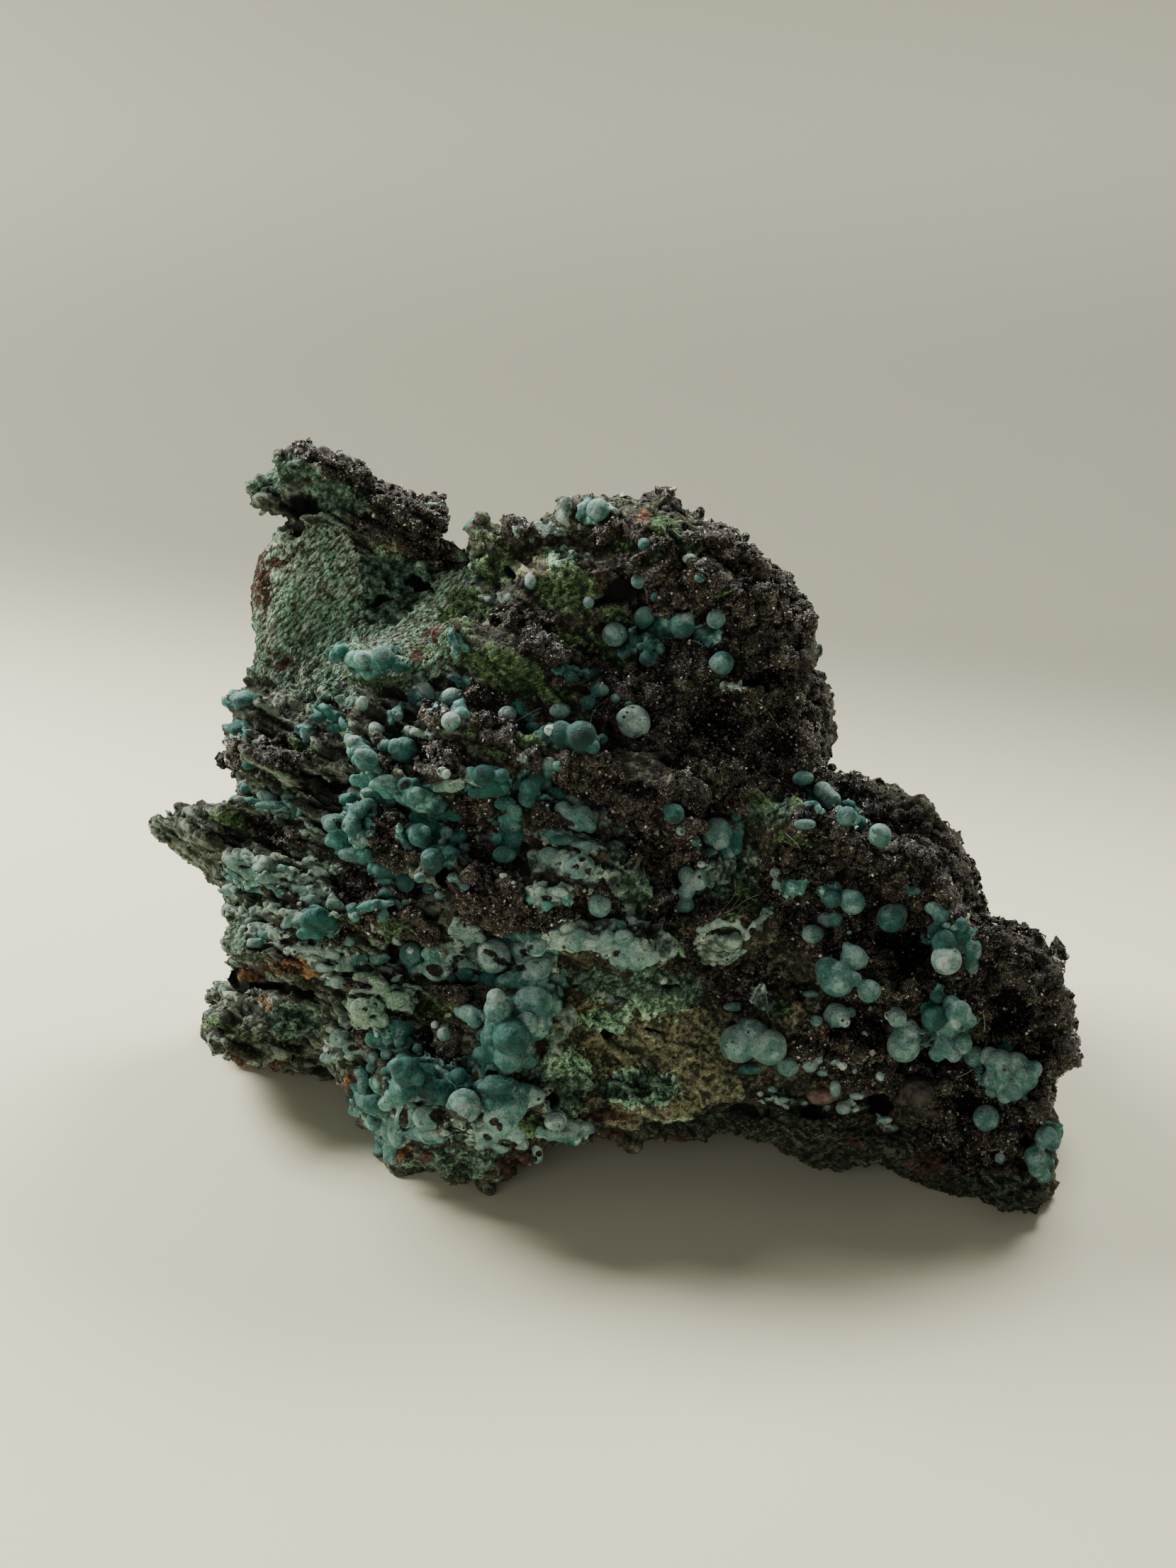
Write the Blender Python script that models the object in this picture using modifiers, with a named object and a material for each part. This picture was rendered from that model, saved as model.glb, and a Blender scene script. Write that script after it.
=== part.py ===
"""Rosasite with plattnerite: a loose mineral specimen that rests on its own feet.

One rough piece of layered limonite rock under a black-brown plattnerite crust carries
rounded growths of rosasite.  The rock, its crust, its ledges, lumps and pits are one
solid.  Each large growth of rosasite is a solid of its own in a socket of the rock.

Places on the front are written as a person in front of the specimen reads them: tenths
of a millimetre to the right and down from the corner of a measuring sheet, whose middle
(SHEET_MIDDLE) lies on FACE_MIDDLE, and millimetres away from the reader (depth).
"""
import math
import random

import bmesh
import bpy
from mathutils import Matrix, Vector, noise
from mathutils.bvhtree import BVHTree
from mathutils.kdtree import KDTree

COLLECTION = "rosasite_with_plattnerite"
CUTTERS = "cutters"

# Driving dimensions, in millimetres unless the name says otherwise.
MM = 0.001
TENTH = 0.1
SHEET_MIDDLE = (829.5, 1106.0)
FACE_MIDDLE = Vector((0.0, 0.0, 45.0))
READER_DISTANCE = 320.0
READER_TILT = math.radians(24.0)
BLOCK_NEAR = -70.0
BLOCK_FAR = 90.0
CORE_VOXEL = 1.6
ROCK_VOXEL = 1.0
ROCK_TRIANGLES = 5100
DETAIL_CARE = 0.10
BACK_SPREAD = 0.6
SOCKET_GAP = 0.32
SOCKET_ROOM = 0.90
SOCKET_RIM = 1.2
SOCKET_WEIGHT = 0.12
SEED = 11

RIGHT = Vector((1.0, 0.0, 0.0))
UP = Vector((0.0, math.sin(READER_TILT), math.cos(READER_TILT)))
AWAY = Vector((0.0, math.cos(READER_TILT), -math.sin(READER_TILT)))
READER = FACE_MIDDLE - READER_DISTANCE * AWAY

# Relief of the broken surface: size and height of each kind, in millimetres.
BROAD_RELIEF = (8.0, 1.8)
ROUGH_RELIEF = (3.0, 1.0)
LUMP_RELIEF = (4.6, 2.6)
LUMP_CREST = 0.35
LAYER_PITCH = 3.8
LAYER_HEIGHT = 2.0
LAYER_WARP = (11.0, 0.9)
LAYER_SLOPE = 0.45
LAYER_TOP = 950
LAYER_ABOVE = 0.3
CRUST_EDGE = 760
CRUST_BLEND = 60
SMOOTH_PANEL = ((470, 850), 155, 0.85)
RIND = 0.45

# The rock's outline from the front, clockwise from the tip of the horn.
OUTLINE = [
    (350, 688), (356, 675), (385, 666), (386, 645), (418, 630), (440, 630), (452, 641),
    (486, 640), (512, 664), (528, 690), (560, 702), (600, 705), (624, 720), (636, 750),
    (640, 780), (647, 791), (657, 776), (664, 745), (672, 728), (700, 744), (740, 752),
    (762, 738), (786, 726), (792, 706), (812, 710), (855, 700), (885, 728), (925, 724),
    (940, 714), (970, 727), (1000, 750), (1030, 764), (1060, 788), (1090, 808),
    (1115, 834), (1138, 870), (1124, 898), (1149, 928), (1148, 958), (1165, 976),
    (1162, 1010), (1168, 1052), (1152, 1088), (1192, 1100), (1232, 1108), (1262, 1124),
    (1300, 1136), (1312, 1164), (1345, 1176), (1356, 1210), (1366, 1258), (1386, 1288),
    (1410, 1302), (1432, 1334), (1470, 1346), (1488, 1366), (1498, 1400), (1494, 1440),
    (1514, 1480), (1504, 1500), (1482, 1512), (1468, 1536), (1480, 1560), (1492, 1608),
    (1480, 1656), (1472, 1690), (1462, 1710), (1436, 1713), (1405, 1700), (1370, 1682),
    (1322, 1676), (1290, 1652), (1250, 1642), (1180, 1655), (1140, 1640), (1082, 1602),
    (1060, 1610), (1000, 1595), (985, 1616), (930, 1608), (850, 1604), (766, 1614),
    (758, 1642), (716, 1652), (690, 1667), (600, 1660), (560, 1650), (544, 1620),
    (550, 1580), (520, 1568), (498, 1542), (470, 1514), (400, 1508), (350, 1500),
    (302, 1480), (281, 1450), (290, 1434), (312, 1418), (306, 1400), (326, 1370),
    (322, 1340), (334, 1290), (310, 1262), (272, 1210), (228, 1166), (246, 1146),
    (280, 1136), (285, 1121), (310, 1134), (346, 1128), (340, 1100), (320, 1078),
    (322, 1046), (332, 1012), (314, 986), (350, 978), (366, 920), (354, 840), (358, 792),
    (380, 762), (402, 734), (368, 712),
]

# Core masses: sheet place, depth, then radii across, up and away, and turn in degrees.
CORES = {
    "middle": ((780, 1190), 6.0, (50.0, 39.0, 32.0), 0.0),
    "upper_lobe": ((905, 900), 2.0, (30.0, 25.0, 19.0), -10.0),
    "horn": ((480, 820), 6.0, (17.0, 27.0, 11.0), 0.0),
    "left_block": ((430, 1220), 12.0, (27.0, 27.0, 16.0), 0.0),
    "left_spike": ((330, 1180), 8.0, (15.0, 9.0, 7.0), -20.0),
    "left_base": ((410, 1430), 20.0, (19.0, 14.0, 18.0), 0.0),
    "right_lobe": ((1230, 1330), -2.0, (31.0, 27.0, 20.0), -20.0),
    "right_end": ((1400, 1530), -8.0, (17.0, 25.0, 13.0), 0.0),
    "lower_front": ((690, 1500), -4.0, (22.0, 22.0, 19.0), 0.0),
    "lower_middle": ((1030, 1530), -3.0, (40.0, 17.0, 17.0), 0.0),
}
# Masses under and behind the face: middle and radii in the world's axes.
BACK_MASSES = {
    "base": ((2.0, 12.0, 10.0), (52.0, 27.0, 16.0)),
    "back_shoulder": ((-6.0, 18.0, 42.0), (36.0, 18.0, 26.0)),
    "back_rib": ((26.0, 14.0, 26.0), (22.0, 20.0, 26.0)),
}
FEET = {
    "right_foot": ((56.0, -36.0, 2.0), (8.0, 7.0, 7.0)),
    "front_foot": ((-15.0, -27.0, 2.0), (10.0, 8.0, 8.0)),
    "left_foot": ((-43.0, 4.0, 2.0), (10.0, 9.0, 6.0)),
    "back_foot": ((16.0, 31.0, 2.0), (13.0, 7.0, 7.0)),
}
# Hollows cut into the underside, in the world's axes.
UNDERSIDE_HOLLOWS = {
    "front_arch": ((19.0, -17.0, -3.0), (27.0, 24.0, 14.0)),
    "left_arch": ((-31.0, -9.0, -3.0), (9.0, 14.0, 8.0)),
    "back_arch": ((-18.0, 28.0, -3.0), (17.0, 17.0, 8.0)),
}

# Ledges and humps on the front: sheet place, half length, half height, thickness, turn,
# and how far the middle stands out of the face.
LEDGES = {
    "horn_crest": ((455, 662), 7.5, 2.6, 5.0, -8.0, 1.0),
    "horn_dark_shelf": ((575, 735), 8.0, 4.0, 5.0, -28.0, 1.2),
    "middle_crest": ((705, 765), 6.0, 3.0, 4.5, -14.0, 1.0),
    "rim_flake": ((752, 812), 4.0, 1.6, 2.5, 50.0, 1.4),
    "green_hump": ((800, 845), 10.0, 6.0, 4.0, -10.0, 0.5),
    "crest_lump": ((842, 722), 4.5, 3.0, 4.0, 0.0, 1.2),
    "lobe_brow": ((980, 800), 14.0, 5.5, 5.0, -30.0, 1.0),
    "lobe_face": ((1060, 940), 9.0, 10.0, 5.0, -60.0, 1.0),
    "lobe_lower_lip": ((1100, 1050), 7.5, 3.5, 4.5, -15.0, 1.2),
    "panel_foot_ledge": ((560, 940), 10.0, 2.6, 4.0, -14.0, 1.4),
    "moss_bank": ((720, 930), 12.0, 4.0, 4.5, -18.0, 1.0),
    "block_ledge_top": ((380, 1005), 6.5, 2.2, 6.0, -18.0, 1.8),
    "block_ledge_low": ((385, 1075), 7.5, 2.6, 6.0, -24.0, 1.4),
    "hooked_plate": ((330, 1150), 7.0, 1.8, 5.0, -18.0, 1.2),
    "spike_plate": ((310, 1190), 9.0, 2.4, 6.0, -34.0, 1.0),
    "mint_ledge": ((400, 1245), 11.0, 2.4, 5.0, -22.0, 1.6),
    "teal_shelf": ((450, 1300), 7.5, 2.8, 4.5, -6.0, 1.6),
    "rust_ledge": ((400, 1345), 9.5, 2.0, 7.0, -4.0, 3.0),
    "base_slab": ((370, 1450), 10.5, 4.6, 7.0, -8.0, 1.6),
    "left_shingle_a": ((560, 1035), 8.0, 2.4, 3.5, -32.0, 1.4),
    "left_shingle_b": ((590, 1105), 10.0, 2.4, 4.0, -26.0, 1.4),
    "left_shingle_c": ((560, 1180), 8.0, 2.8, 4.0, -22.0, 1.0),
    "centre_crust_a": ((700, 1050), 13.0, 2.8, 4.0, -24.0, 1.4),
    "centre_crust_b": ((700, 1120), 10.0, 2.6, 4.0, -30.0, 1.6),
    "centre_crust_c": ((700, 1255), 12.0, 4.2, 4.5, -16.0, 1.8),
    "centre_crust_d": ((880, 1100), 13.0, 4.0, 4.5, -26.0, 1.2),
    "centre_crust_e": ((860, 1235), 9.0, 4.0, 4.0, -30.0, 1.2),
    "pale_shelf": ((842, 1328), 10.0, 2.6, 4.5, -6.0, 1.6),
    "low_shingle": ((560, 1300), 9.0, 2.8, 4.0, -12.0, 1.2),
    "mint_bank": ((545, 1415), 6.5, 4.0, 5.0, -6.0, 1.6),
    "botryoid_bank": ((715, 1450), 8.5, 8.0, 5.0, 0.0, 1.4),
    "teal_bank": ((600, 1530), 7.5, 4.5, 5.0, -20.0, 1.2),
    "foot_shelf": ((700, 1560), 8.5, 4.2, 5.0, -4.0, 1.6),
    "right_crust_a": ((1090, 1150), 11.0, 3.6, 4.5, -34.0, 1.4),
    "right_crust_b": ((1130, 1225), 11.0, 3.8, 4.5, -34.0, 1.4),
    "right_crust_c": ((1240, 1230), 10.0, 4.8, 4.5, -38.0, 1.2),
    "right_crust_d": ((1050, 1300), 9.0, 3.4, 4.5, 14.0, 1.4),
    "right_crust_e": ((1250, 1385), 12.0, 4.0, 5.0, -28.0, 1.6),
    "right_crust_f": ((1400, 1370), 8.5, 5.5, 5.0, -35.0, 1.2),
    "right_brow": ((1320, 1290), 9.0, 4.0, 5.0, -38.0, 1.2),
    "low_crust": ((1150, 1470), 10.0, 4.2, 5.0, -10.0, 1.4),
    "smoky_lump": ((1295, 1540), 4.8, 4.0, 4.5, 0.0, 1.6),
    "end_knob": ((1466, 1560), 2.4, 2.8, 4.0, 0.0, 0.6),
    "fringe": ((1180, 1600), 12.0, 2.8, 4.5, -12.0, 0.8),
}
# Pits pushed into the front: sheet place, half width, half height and depth.
PITS = {
    "brow_pit": ((883, 829), 2.4, 2.2, 2.2),
    "lobe_cleft": ((990, 1022), 2.8, 4.6, 3.6),
    "lobe_gap": ((1046, 1102), 3.4, 2.2, 2.4),
    "lobe_undercut": ((930, 960), 5.0, 2.4, 1.8),
    "strata_gap": ((362, 1390), 6.0, 1.9, 4.5),
    "strata_gap_right": ((440, 1402), 4.5, 1.6, 3.0),
    "centre_hole": ((631, 1241), 1.8, 2.4, 2.8),
    "left_gap": ((330, 1075), 2.2, 3.0, 1.4),
    "right_cavity": ((1282, 1352), 3.0, 4.2, 4.2),
    "end_cavity": ((1424, 1428), 3.4, 3.4, 3.2),
    "low_cavity": ((1360, 1575), 4.2, 3.6, 4.2),
    "end_recess": ((1432, 1630), 2.6, 2.4, 2.6),
    "fringe_gap": ((1150, 1568), 7.0, 1.7, 2.6),
    "scoop_top": ((905, 1420), 11.0, 3.6, 2.2),
    "scoop_low": ((900, 1500), 13.0, 7.5, 3.2),
    "ball_hollow": ((660, 1394), 5.0, 1.6, 1.6),
    "teal_cleft": ((610, 1480), 5.0, 2.4, 2.2),
    "shade_line": ((760, 1216), 8.0, 1.4, 1.4),
    "upper_line": ((640, 1075), 7.0, 1.2, 1.4),
}
# Knobs of plattnerite along the right of the outline and over the right of the face.
KNOB_RIM = ((885, 728), (1482, 1512))
KNOB_RIM_STEP = 4.2
KNOB_RIM_RADIUS = (1.3, 2.1)
KNOB_FIELDS = {
    "lobe": ((1030, 930), 11.0, 17.0, 34),
    "brow": ((960, 800), 13.0, 6.0, 16),
    "slope": ((1230, 1220), 13.0, 9.0, 26),
    "end": ((1420, 1400), 8.0, 10.0, 20),
    "low": ((1180, 1500), 10.0, 5.0, 10),
}
KNOB_RADIUS = (1.3, 2.3)
KNOB_MIDDLE = (900, 1250)
KNOB_INSET = 0.75
KNOB_SINK = 0.2

# Rosasite growths: the balls of each, as sheet place and radius in tenths.
GROWTHS = {
    "rosasite_ball_high_left": [(867, 895, 19)],
    "rosasite_ball_high_middle": [(909, 870, 16)],
    "rosasite_ball_white_cap": [(962, 882, 20)],
    "rosasite_ball_high_right": [(1010, 873, 15)],
    "rosasite_ball_shoulder": [(1019, 935, 18)],
    "rosasite_ball_pale_centre": [(894, 1018, 25)],
    "rosasite_lobe_dark_teal": [(820, 1038, 24), (792, 1034, 20)],
    "rosasite_ball_left": [(570, 1058, 20)],
    "rosasite_ball_bright_left": [(517, 1072, 18)],
    "rosasite_lobe_centre_left": [(747, 1116, 18)],
    "rosasite_lobe_ridge": [(818, 1154, 22), (794, 1142, 15)],
    "rosasite_lobe_left_low": [(590, 1176, 20)],
    "rosasite_ball_half_moon": [(846, 1278, 19)],
    "rosasite_ball_dark": [(951, 1148, 17)],
    "rosasite_lobe_tooth": [(1012, 1172, 22)],
    "rosasite_grapes": [(982, 1244, 17), (968, 1268, 15)],
    "rosasite_bean": [(1174, 1130, 17), (1160, 1115, 15)],
    "rosasite_ball_rim": [(1241, 1178, 18)],
    "rosasite_balls_slope": [(1203, 1273, 19), (1174, 1266, 16)],
    "rosasite_ball_half_sunk": [(1257, 1293, 22)],
    "rosasite_balls_grey": [(1335, 1354, 23), (1333, 1318, 18)],
    "rosasite_cluster_great": [(1180, 1380, 28), (1205, 1352, 20), (1219, 1394, 22)],
    "rosasite_ball_white": [(1180, 1434, 18)],
    "rosasite_lobe_half_ring": [(1273, 1475, 25), (1268, 1446, 18)],
    "rosasite_botryoid_right": [(1344, 1434, 23), (1316, 1440, 21), (1336, 1472, 22)],
    "rosasite_scallops_right": [(1410, 1504, 24), (1442, 1508, 22), (1428, 1538, 20)],
    "rosasite_crescent": [(1391, 1578, 19)],
    "rosasite_lobes_end": [(1473, 1608, 19), (1463, 1636, 18)],
    "rosasite_double_lobe": [(1043, 1470, 29), (1084, 1476, 27)],
    "rosasite_ball_white_spot": [(581, 1346, 19)],
    "rosasite_ball_cleft": [(697, 1350, 25)],
    "rosasite_lobe_pale": [(756, 1368, 20)],
    "rosasite_mass_front": [(722, 1462, 30), (702, 1424, 24), (718, 1494, 22), (660, 1458, 21)],
    "rosasite_lobe_deep_teal": [(573, 1512, 23)],
    "rosasite_lobe_grey": [(655, 1560, 25)],
    "rosasite_lobe_foot": [(600, 1578, 20)],
}
BALL_LIFT = 0.30
RING_SHARE = 0.65
STEP_SHARE = 0.6
BALL_DETAIL = 2
TOUCH = 0.80
LIFT_WAYS = ((0.0, 0.0), (0.0, 0.6), (0.0, -0.6), (0.6, 0.0), (-0.6, 0.0), (0.0, 1.5),
             (0.0, -1.5))
SHIFT_STEP = 0.05
WELD = 0.02

# Colour, roughness and metallic value of each material.
MATERIALS = {
    "plattnerite_rock": ((0.080, 0.075, 0.060, 1.0), 0.70, 0.0),
    "rosasite": ((0.240, 0.450, 0.420, 1.0), 0.50, 0.0),
}


def clear_scene():
    """Remove whatever the file holds before modelling."""
    for obj in list(bpy.data.objects):
        bpy.data.objects.remove(obj, do_unlink=True)


def new_collection(name):
    """Return a new collection linked to the scene."""
    collection = bpy.data.collections.new(name)
    bpy.context.scene.collection.children.link(collection)
    return collection


def new_material(name):
    """Return a Principled material with the values of MATERIALS."""
    colour, roughness, metallic = MATERIALS[name]
    material = bpy.data.materials.new(name)
    material.use_nodes = True
    shader = material.node_tree.nodes["Principled BSDF"]
    shader.inputs["Base Color"].default_value = colour
    shader.inputs["Roughness"].default_value = roughness
    shader.inputs["Metallic"].default_value = metallic
    return material


def face_place(place, depth):
    """World point of a sheet place at a depth behind the sheet, in millimetres."""
    across = (place[0] - SHEET_MIDDLE[0]) * TENTH
    up = (SHEET_MIDDLE[1] - place[1]) * TENTH
    spread = 1.0 + depth / READER_DISTANCE
    return FACE_MIDDLE + (across * RIGHT + up * UP) * spread + depth * AWAY


def sheet_place(point):
    """Sheet place and depth of a world point: the reverse of face_place."""
    reach = point - FACE_MIDDLE
    depth = reach.dot(AWAY)
    spread = 1.0 + depth / READER_DISTANCE
    across = reach.dot(RIGHT) / spread
    up = reach.dot(UP) / spread
    return SHEET_MIDDLE[0] + across / TENTH, SHEET_MIDDLE[1] - up / TENTH, depth


def face_axes(turn_degrees):
    """Axes across, away and up of the face, turned in its plane."""
    turn = Matrix.Rotation(math.radians(-turn_degrees), 3, AWAY)
    return Matrix((turn @ RIGHT, turn @ AWAY, turn @ UP)).transposed()


def add_ellipsoid(mesh, middle, radii, axes=None, detail=3):
    """Add a closed ellipsoid with the given radii along the axes."""
    axes = axes or Matrix.Identity(3)
    matrix = Matrix.Translation(middle) @ (axes @ Matrix.Diagonal(radii)).to_4x4()
    bmesh.ops.create_icosphere(mesh, subdivisions=detail, radius=1.0, matrix=matrix)


def to_object(mesh, name, collection):
    """Put a bmesh in an object of the collection."""
    data = bpy.data.meshes.new(name)
    mesh.to_mesh(data)
    mesh.free()
    obj = bpy.data.objects.new(name, data)
    collection.objects.link(obj)
    return obj


def settle(obj):
    """Replace an object's mesh by what its modifiers make of it."""
    bpy.context.view_layer.update()
    graph = bpy.context.evaluated_depsgraph_get()
    data = bpy.data.meshes.new_from_object(obj.evaluated_get(graph))
    obj.modifiers.clear()
    obj.data = data


def remesh(obj, voxel):
    """Fuse overlapping closed shapes in one skin."""
    modifier = obj.modifiers.new("fuse", "REMESH")
    modifier.mode = "VOXEL"
    modifier.voxel_size = voxel
    settle(obj)


def combine(obj, other, operation):
    """Apply one exact Boolean with another object."""
    modifier = obj.modifiers.new(operation.lower(), "BOOLEAN")
    modifier.operation = operation
    modifier.solver = "EXACT"
    modifier.object = other
    settle(obj)


def surface_tree(obj):
    """Search tree over an object's faces."""
    mesh = bmesh.new()
    mesh.from_mesh(obj.data)
    tree = BVHTree.FromBMesh(mesh)
    mesh.free()
    return tree


def depth_on_face(tree, place, default=0.0):
    """Depth at which a line from the reader through a sheet place meets the surface."""
    target = face_place(place, 0.0)
    hit = tree.ray_cast(READER, (target - READER).normalized())[0]
    return default if hit is None else sheet_place(hit)[2]


def make_core(collection):
    """The main masses of the rock, fused."""
    mesh = bmesh.new()
    for place, depth, (across, up, away), turn in CORES.values():
        add_ellipsoid(mesh, face_place(place, depth), (across, away, up), face_axes(turn))
    for middle, radii in BACK_MASSES.values():
        add_ellipsoid(mesh, Vector(middle), radii)
    core = to_object(mesh, "core", collection)
    remesh(core, CORE_VOXEL)
    return core


def make_outline_block(collection):
    """A block whose outline, seen by the reader, is the outline of the rock."""
    mesh = bmesh.new()
    ring = [mesh.verts.new(face_place(place, BLOCK_NEAR)) for place in OUTLINE]
    front = mesh.faces.new(ring)
    swept = bmesh.ops.extrude_face_region(mesh, geom=[front])["geom"]
    for vert in [item for item in swept if isinstance(item, bmesh.types.BMVert)]:
        across, down, _ = sheet_place(vert.co)
        vert.co = face_place((across, down), BLOCK_FAR)
    bmesh.ops.triangulate(mesh, faces=mesh.faces[:])
    bmesh.ops.recalc_face_normals(mesh, faces=mesh.faces[:])
    return to_object(mesh, "outline_block", collection)


def add_ledges(mesh, tree):
    """Ledges and humps, each on the face where it stands."""
    for place, length, height, thickness, turn, out in LEDGES.values():
        middle = face_place(place, depth_on_face(tree, place) - out)
        add_ellipsoid(mesh, middle, (length, thickness, height), face_axes(turn))


def along_rim(start, end, step):
    """Places every step along the outline from one of its points to another."""
    nearest = [min(range(len(OUTLINE)), key=lambda i: math.dist(OUTLINE[i], mark))
               for mark in (start, end)]
    places = []
    for i in range(nearest[0], nearest[1]):
        a, b = OUTLINE[i], OUTLINE[i + 1]
        count = max(1, round(math.dist(a, b) * TENTH / step))
        for k in range(count):
            share = k / count
            places.append((a[0] + (b[0] - a[0]) * share, a[1] + (b[1] - a[1]) * share))
    return places


def add_knob(mesh, tree, place, radius, sink):
    """One knob on the face, sunk by a share of its radius."""
    depth = depth_on_face(tree, place) + sink * radius
    add_ellipsoid(mesh, face_place(place, depth), (radius,) * 3, detail=2)


def add_knobs(mesh, tree, chance):
    """Rounded knobs of the crust along the right rim and over the right of the face."""
    for place in along_rim(*KNOB_RIM, KNOB_RIM_STEP):
        radius = chance.uniform(*KNOB_RIM_RADIUS)
        inward = (Vector(KNOB_MIDDLE) - Vector(place)).normalized()
        spot = Vector(place) + inward * radius * KNOB_INSET / TENTH
        add_knob(mesh, tree, spot, radius, 1.0)
    for place, half_width, half_height, count in KNOB_FIELDS.values():
        for _ in range(count):
            angle = chance.uniform(0.0, 2.0 * math.pi)
            reach = math.sqrt(chance.random()) / TENTH
            spot = (place[0] + reach * half_width * math.cos(angle),
                    place[1] + reach * half_height * math.sin(angle))
            add_knob(mesh, tree, spot, chance.uniform(*KNOB_RADIUS), -KNOB_SINK)


def pit_push(place):
    """How far the pits push a place of the front inward."""
    push = 0.0
    for middle, half_width, half_height, depth in PITS.values():
        across = (place[0] - middle[0]) * TENTH / half_width
        down = (place[1] - middle[1]) * TENTH / half_height
        reach = across * across + down * down
        if reach < 1.0:
            push += depth * (1.0 - reach) ** 2
    return push


def wave(point, size_and_height):
    """Smooth noise of a size and a height, in millimetres."""
    size, height = size_and_height
    return noise.noise(point / size) * height


def relief(point, place):
    """Roughness of the broken rock: layers on the left, rounded lumps on the right."""
    across, down = place
    panel_place, panel_size, panel_calm = SMOOTH_PANEL
    from_panel = math.dist(place, panel_place) / panel_size
    panel = panel_calm * math.exp(-from_panel ** 2)
    crust = 1.0 / (1.0 + math.exp((CRUST_EDGE - across) / CRUST_BLEND))
    layered = (1.0 - crust) * (1.0 if down > LAYER_TOP else LAYER_ABOVE)
    rise = down - SHEET_MIDDLE[1] - LAYER_SLOPE * (across - SHEET_MIDDLE[0])
    layer = (rise * TENTH / LAYER_PITCH + wave(point, LAYER_WARP)) % 1.0 - 0.5
    lumps = LUMP_RELIEF[1] * LUMP_CREST - abs(wave(point, LUMP_RELIEF))
    free = wave(point, BROAD_RELIEF) + wave(point, ROUGH_RELIEF) + crust * lumps
    return free * (1.0 - panel) + layered * LAYER_HEIGHT * layer - RIND


def shape_surface(obj):
    """Move the rock's points by its relief and its pits."""
    mesh = bmesh.new()
    mesh.from_mesh(obj.data)
    mesh.normal_update()
    moves = []
    for vert in mesh.verts:
        across, down, _ = sheet_place(vert.co)
        facing = -vert.normal.dot(AWAY)
        move = vert.normal * relief(vert.co, (across, down))
        if facing > 0.0:
            move += AWAY * pit_push((across, down)) * min(1.0, 2.0 * facing)
        moves.append(move)
    for vert, move in zip(mesh.verts, moves):
        vert.co += move
    mesh.to_mesh(obj.data)
    mesh.free()


def thin_out(obj, growths, triangles):
    """Reduce the rock to its triangle budget: the back most, the sockets least."""
    balls = [ball for placed in growths.values() for ball in placed]
    near = {index for ball in balls for index in points_near(obj, ball, SOCKET_RIM)}
    group = obj.vertex_groups.new(name="freely_thinned")
    for vert in obj.data.vertices:
        hidden = min(1.0, max(0.0, vert.normal.dot(AWAY) + BACK_SPREAD))
        weight = SOCKET_WEIGHT if vert.index in near else (1.0 + hidden) / 2.0
        group.add([vert.index], weight, "REPLACE")
    obj.data.calc_loop_triangles()
    modifier = obj.modifiers.new("thin", "DECIMATE")
    modifier.ratio = triangles / len(obj.data.loop_triangles)
    modifier.vertex_group = group.name
    modifier.vertex_group_factor = DETAIL_CARE
    modifier.use_collapse_triangulate = True
    settle(obj)


def keep_largest(mesh):
    """Drop every loose crumb, so that one body is left."""
    unseen = set(mesh.verts)
    bodies = []
    while unseen:
        front = [unseen.pop()]
        body = set(front)
        while front:
            for edge in front.pop().link_edges:
                for vert in edge.verts:
                    if vert in unseen:
                        unseen.discard(vert)
                        body.add(vert)
                        front.append(vert)
        bodies.append(body)
    largest = max(bodies, key=len)
    crumbs = [vert for body in bodies if body is not largest for vert in body]
    bmesh.ops.delete(mesh, geom=crumbs, context="VERTS")


def cut_flat(obj):
    """Cut the feet flat at the ground and close them."""
    mesh = bmesh.new()
    mesh.from_mesh(obj.data)
    parts = mesh.verts[:] + mesh.edges[:] + mesh.faces[:]
    bmesh.ops.bisect_plane(mesh, geom=parts, dist=1e-4, plane_co=(0.0, 0.0, 0.0),
                           plane_no=(0.0, 0.0, 1.0), clear_inner=True)
    open_edges = [edge for edge in mesh.edges if edge.is_boundary]
    bmesh.ops.triangle_fill(mesh, use_beauty=True, edges=open_edges)
    bmesh.ops.recalc_face_normals(mesh, faces=mesh.faces[:])
    keep_largest(mesh)
    mesh.to_mesh(obj.data)
    mesh.free()


def make_rock(collection, cutters):
    """The rock with its crust, ledges, knobs and feet, before its fine relief."""
    rock = make_core(collection)
    outline = make_outline_block(cutters)
    combine(rock, outline, "INTERSECT")
    tree = surface_tree(rock)
    mesh = bmesh.new()
    mesh.from_mesh(rock.data)
    add_ledges(mesh, tree)
    for middle, radii in FEET.values():
        add_ellipsoid(mesh, Vector(middle), radii)
    mesh.to_mesh(rock.data)
    mesh.free()
    remesh(rock, ROCK_VOXEL)
    combine(rock, outline, "INTERSECT")
    combine(rock, make_hollows(cutters), "DIFFERENCE")
    mesh = bmesh.new()
    mesh.from_mesh(rock.data)
    add_knobs(mesh, surface_tree(rock), random.Random(SEED))
    mesh.to_mesh(rock.data)
    mesh.free()
    remesh(rock, ROCK_VOXEL)
    rock.name = "matrix"
    return rock


def make_hollows(cutters):
    """The hollows of the underside, fused in one cutter."""
    mesh = bmesh.new()
    for middle, radii in UNDERSIDE_HOLLOWS.values():
        add_ellipsoid(mesh, Vector(middle), radii, detail=4)
    hollows = to_object(mesh, "underside_hollows", cutters)
    remesh(hollows, ROCK_VOXEL)
    return hollows


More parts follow.
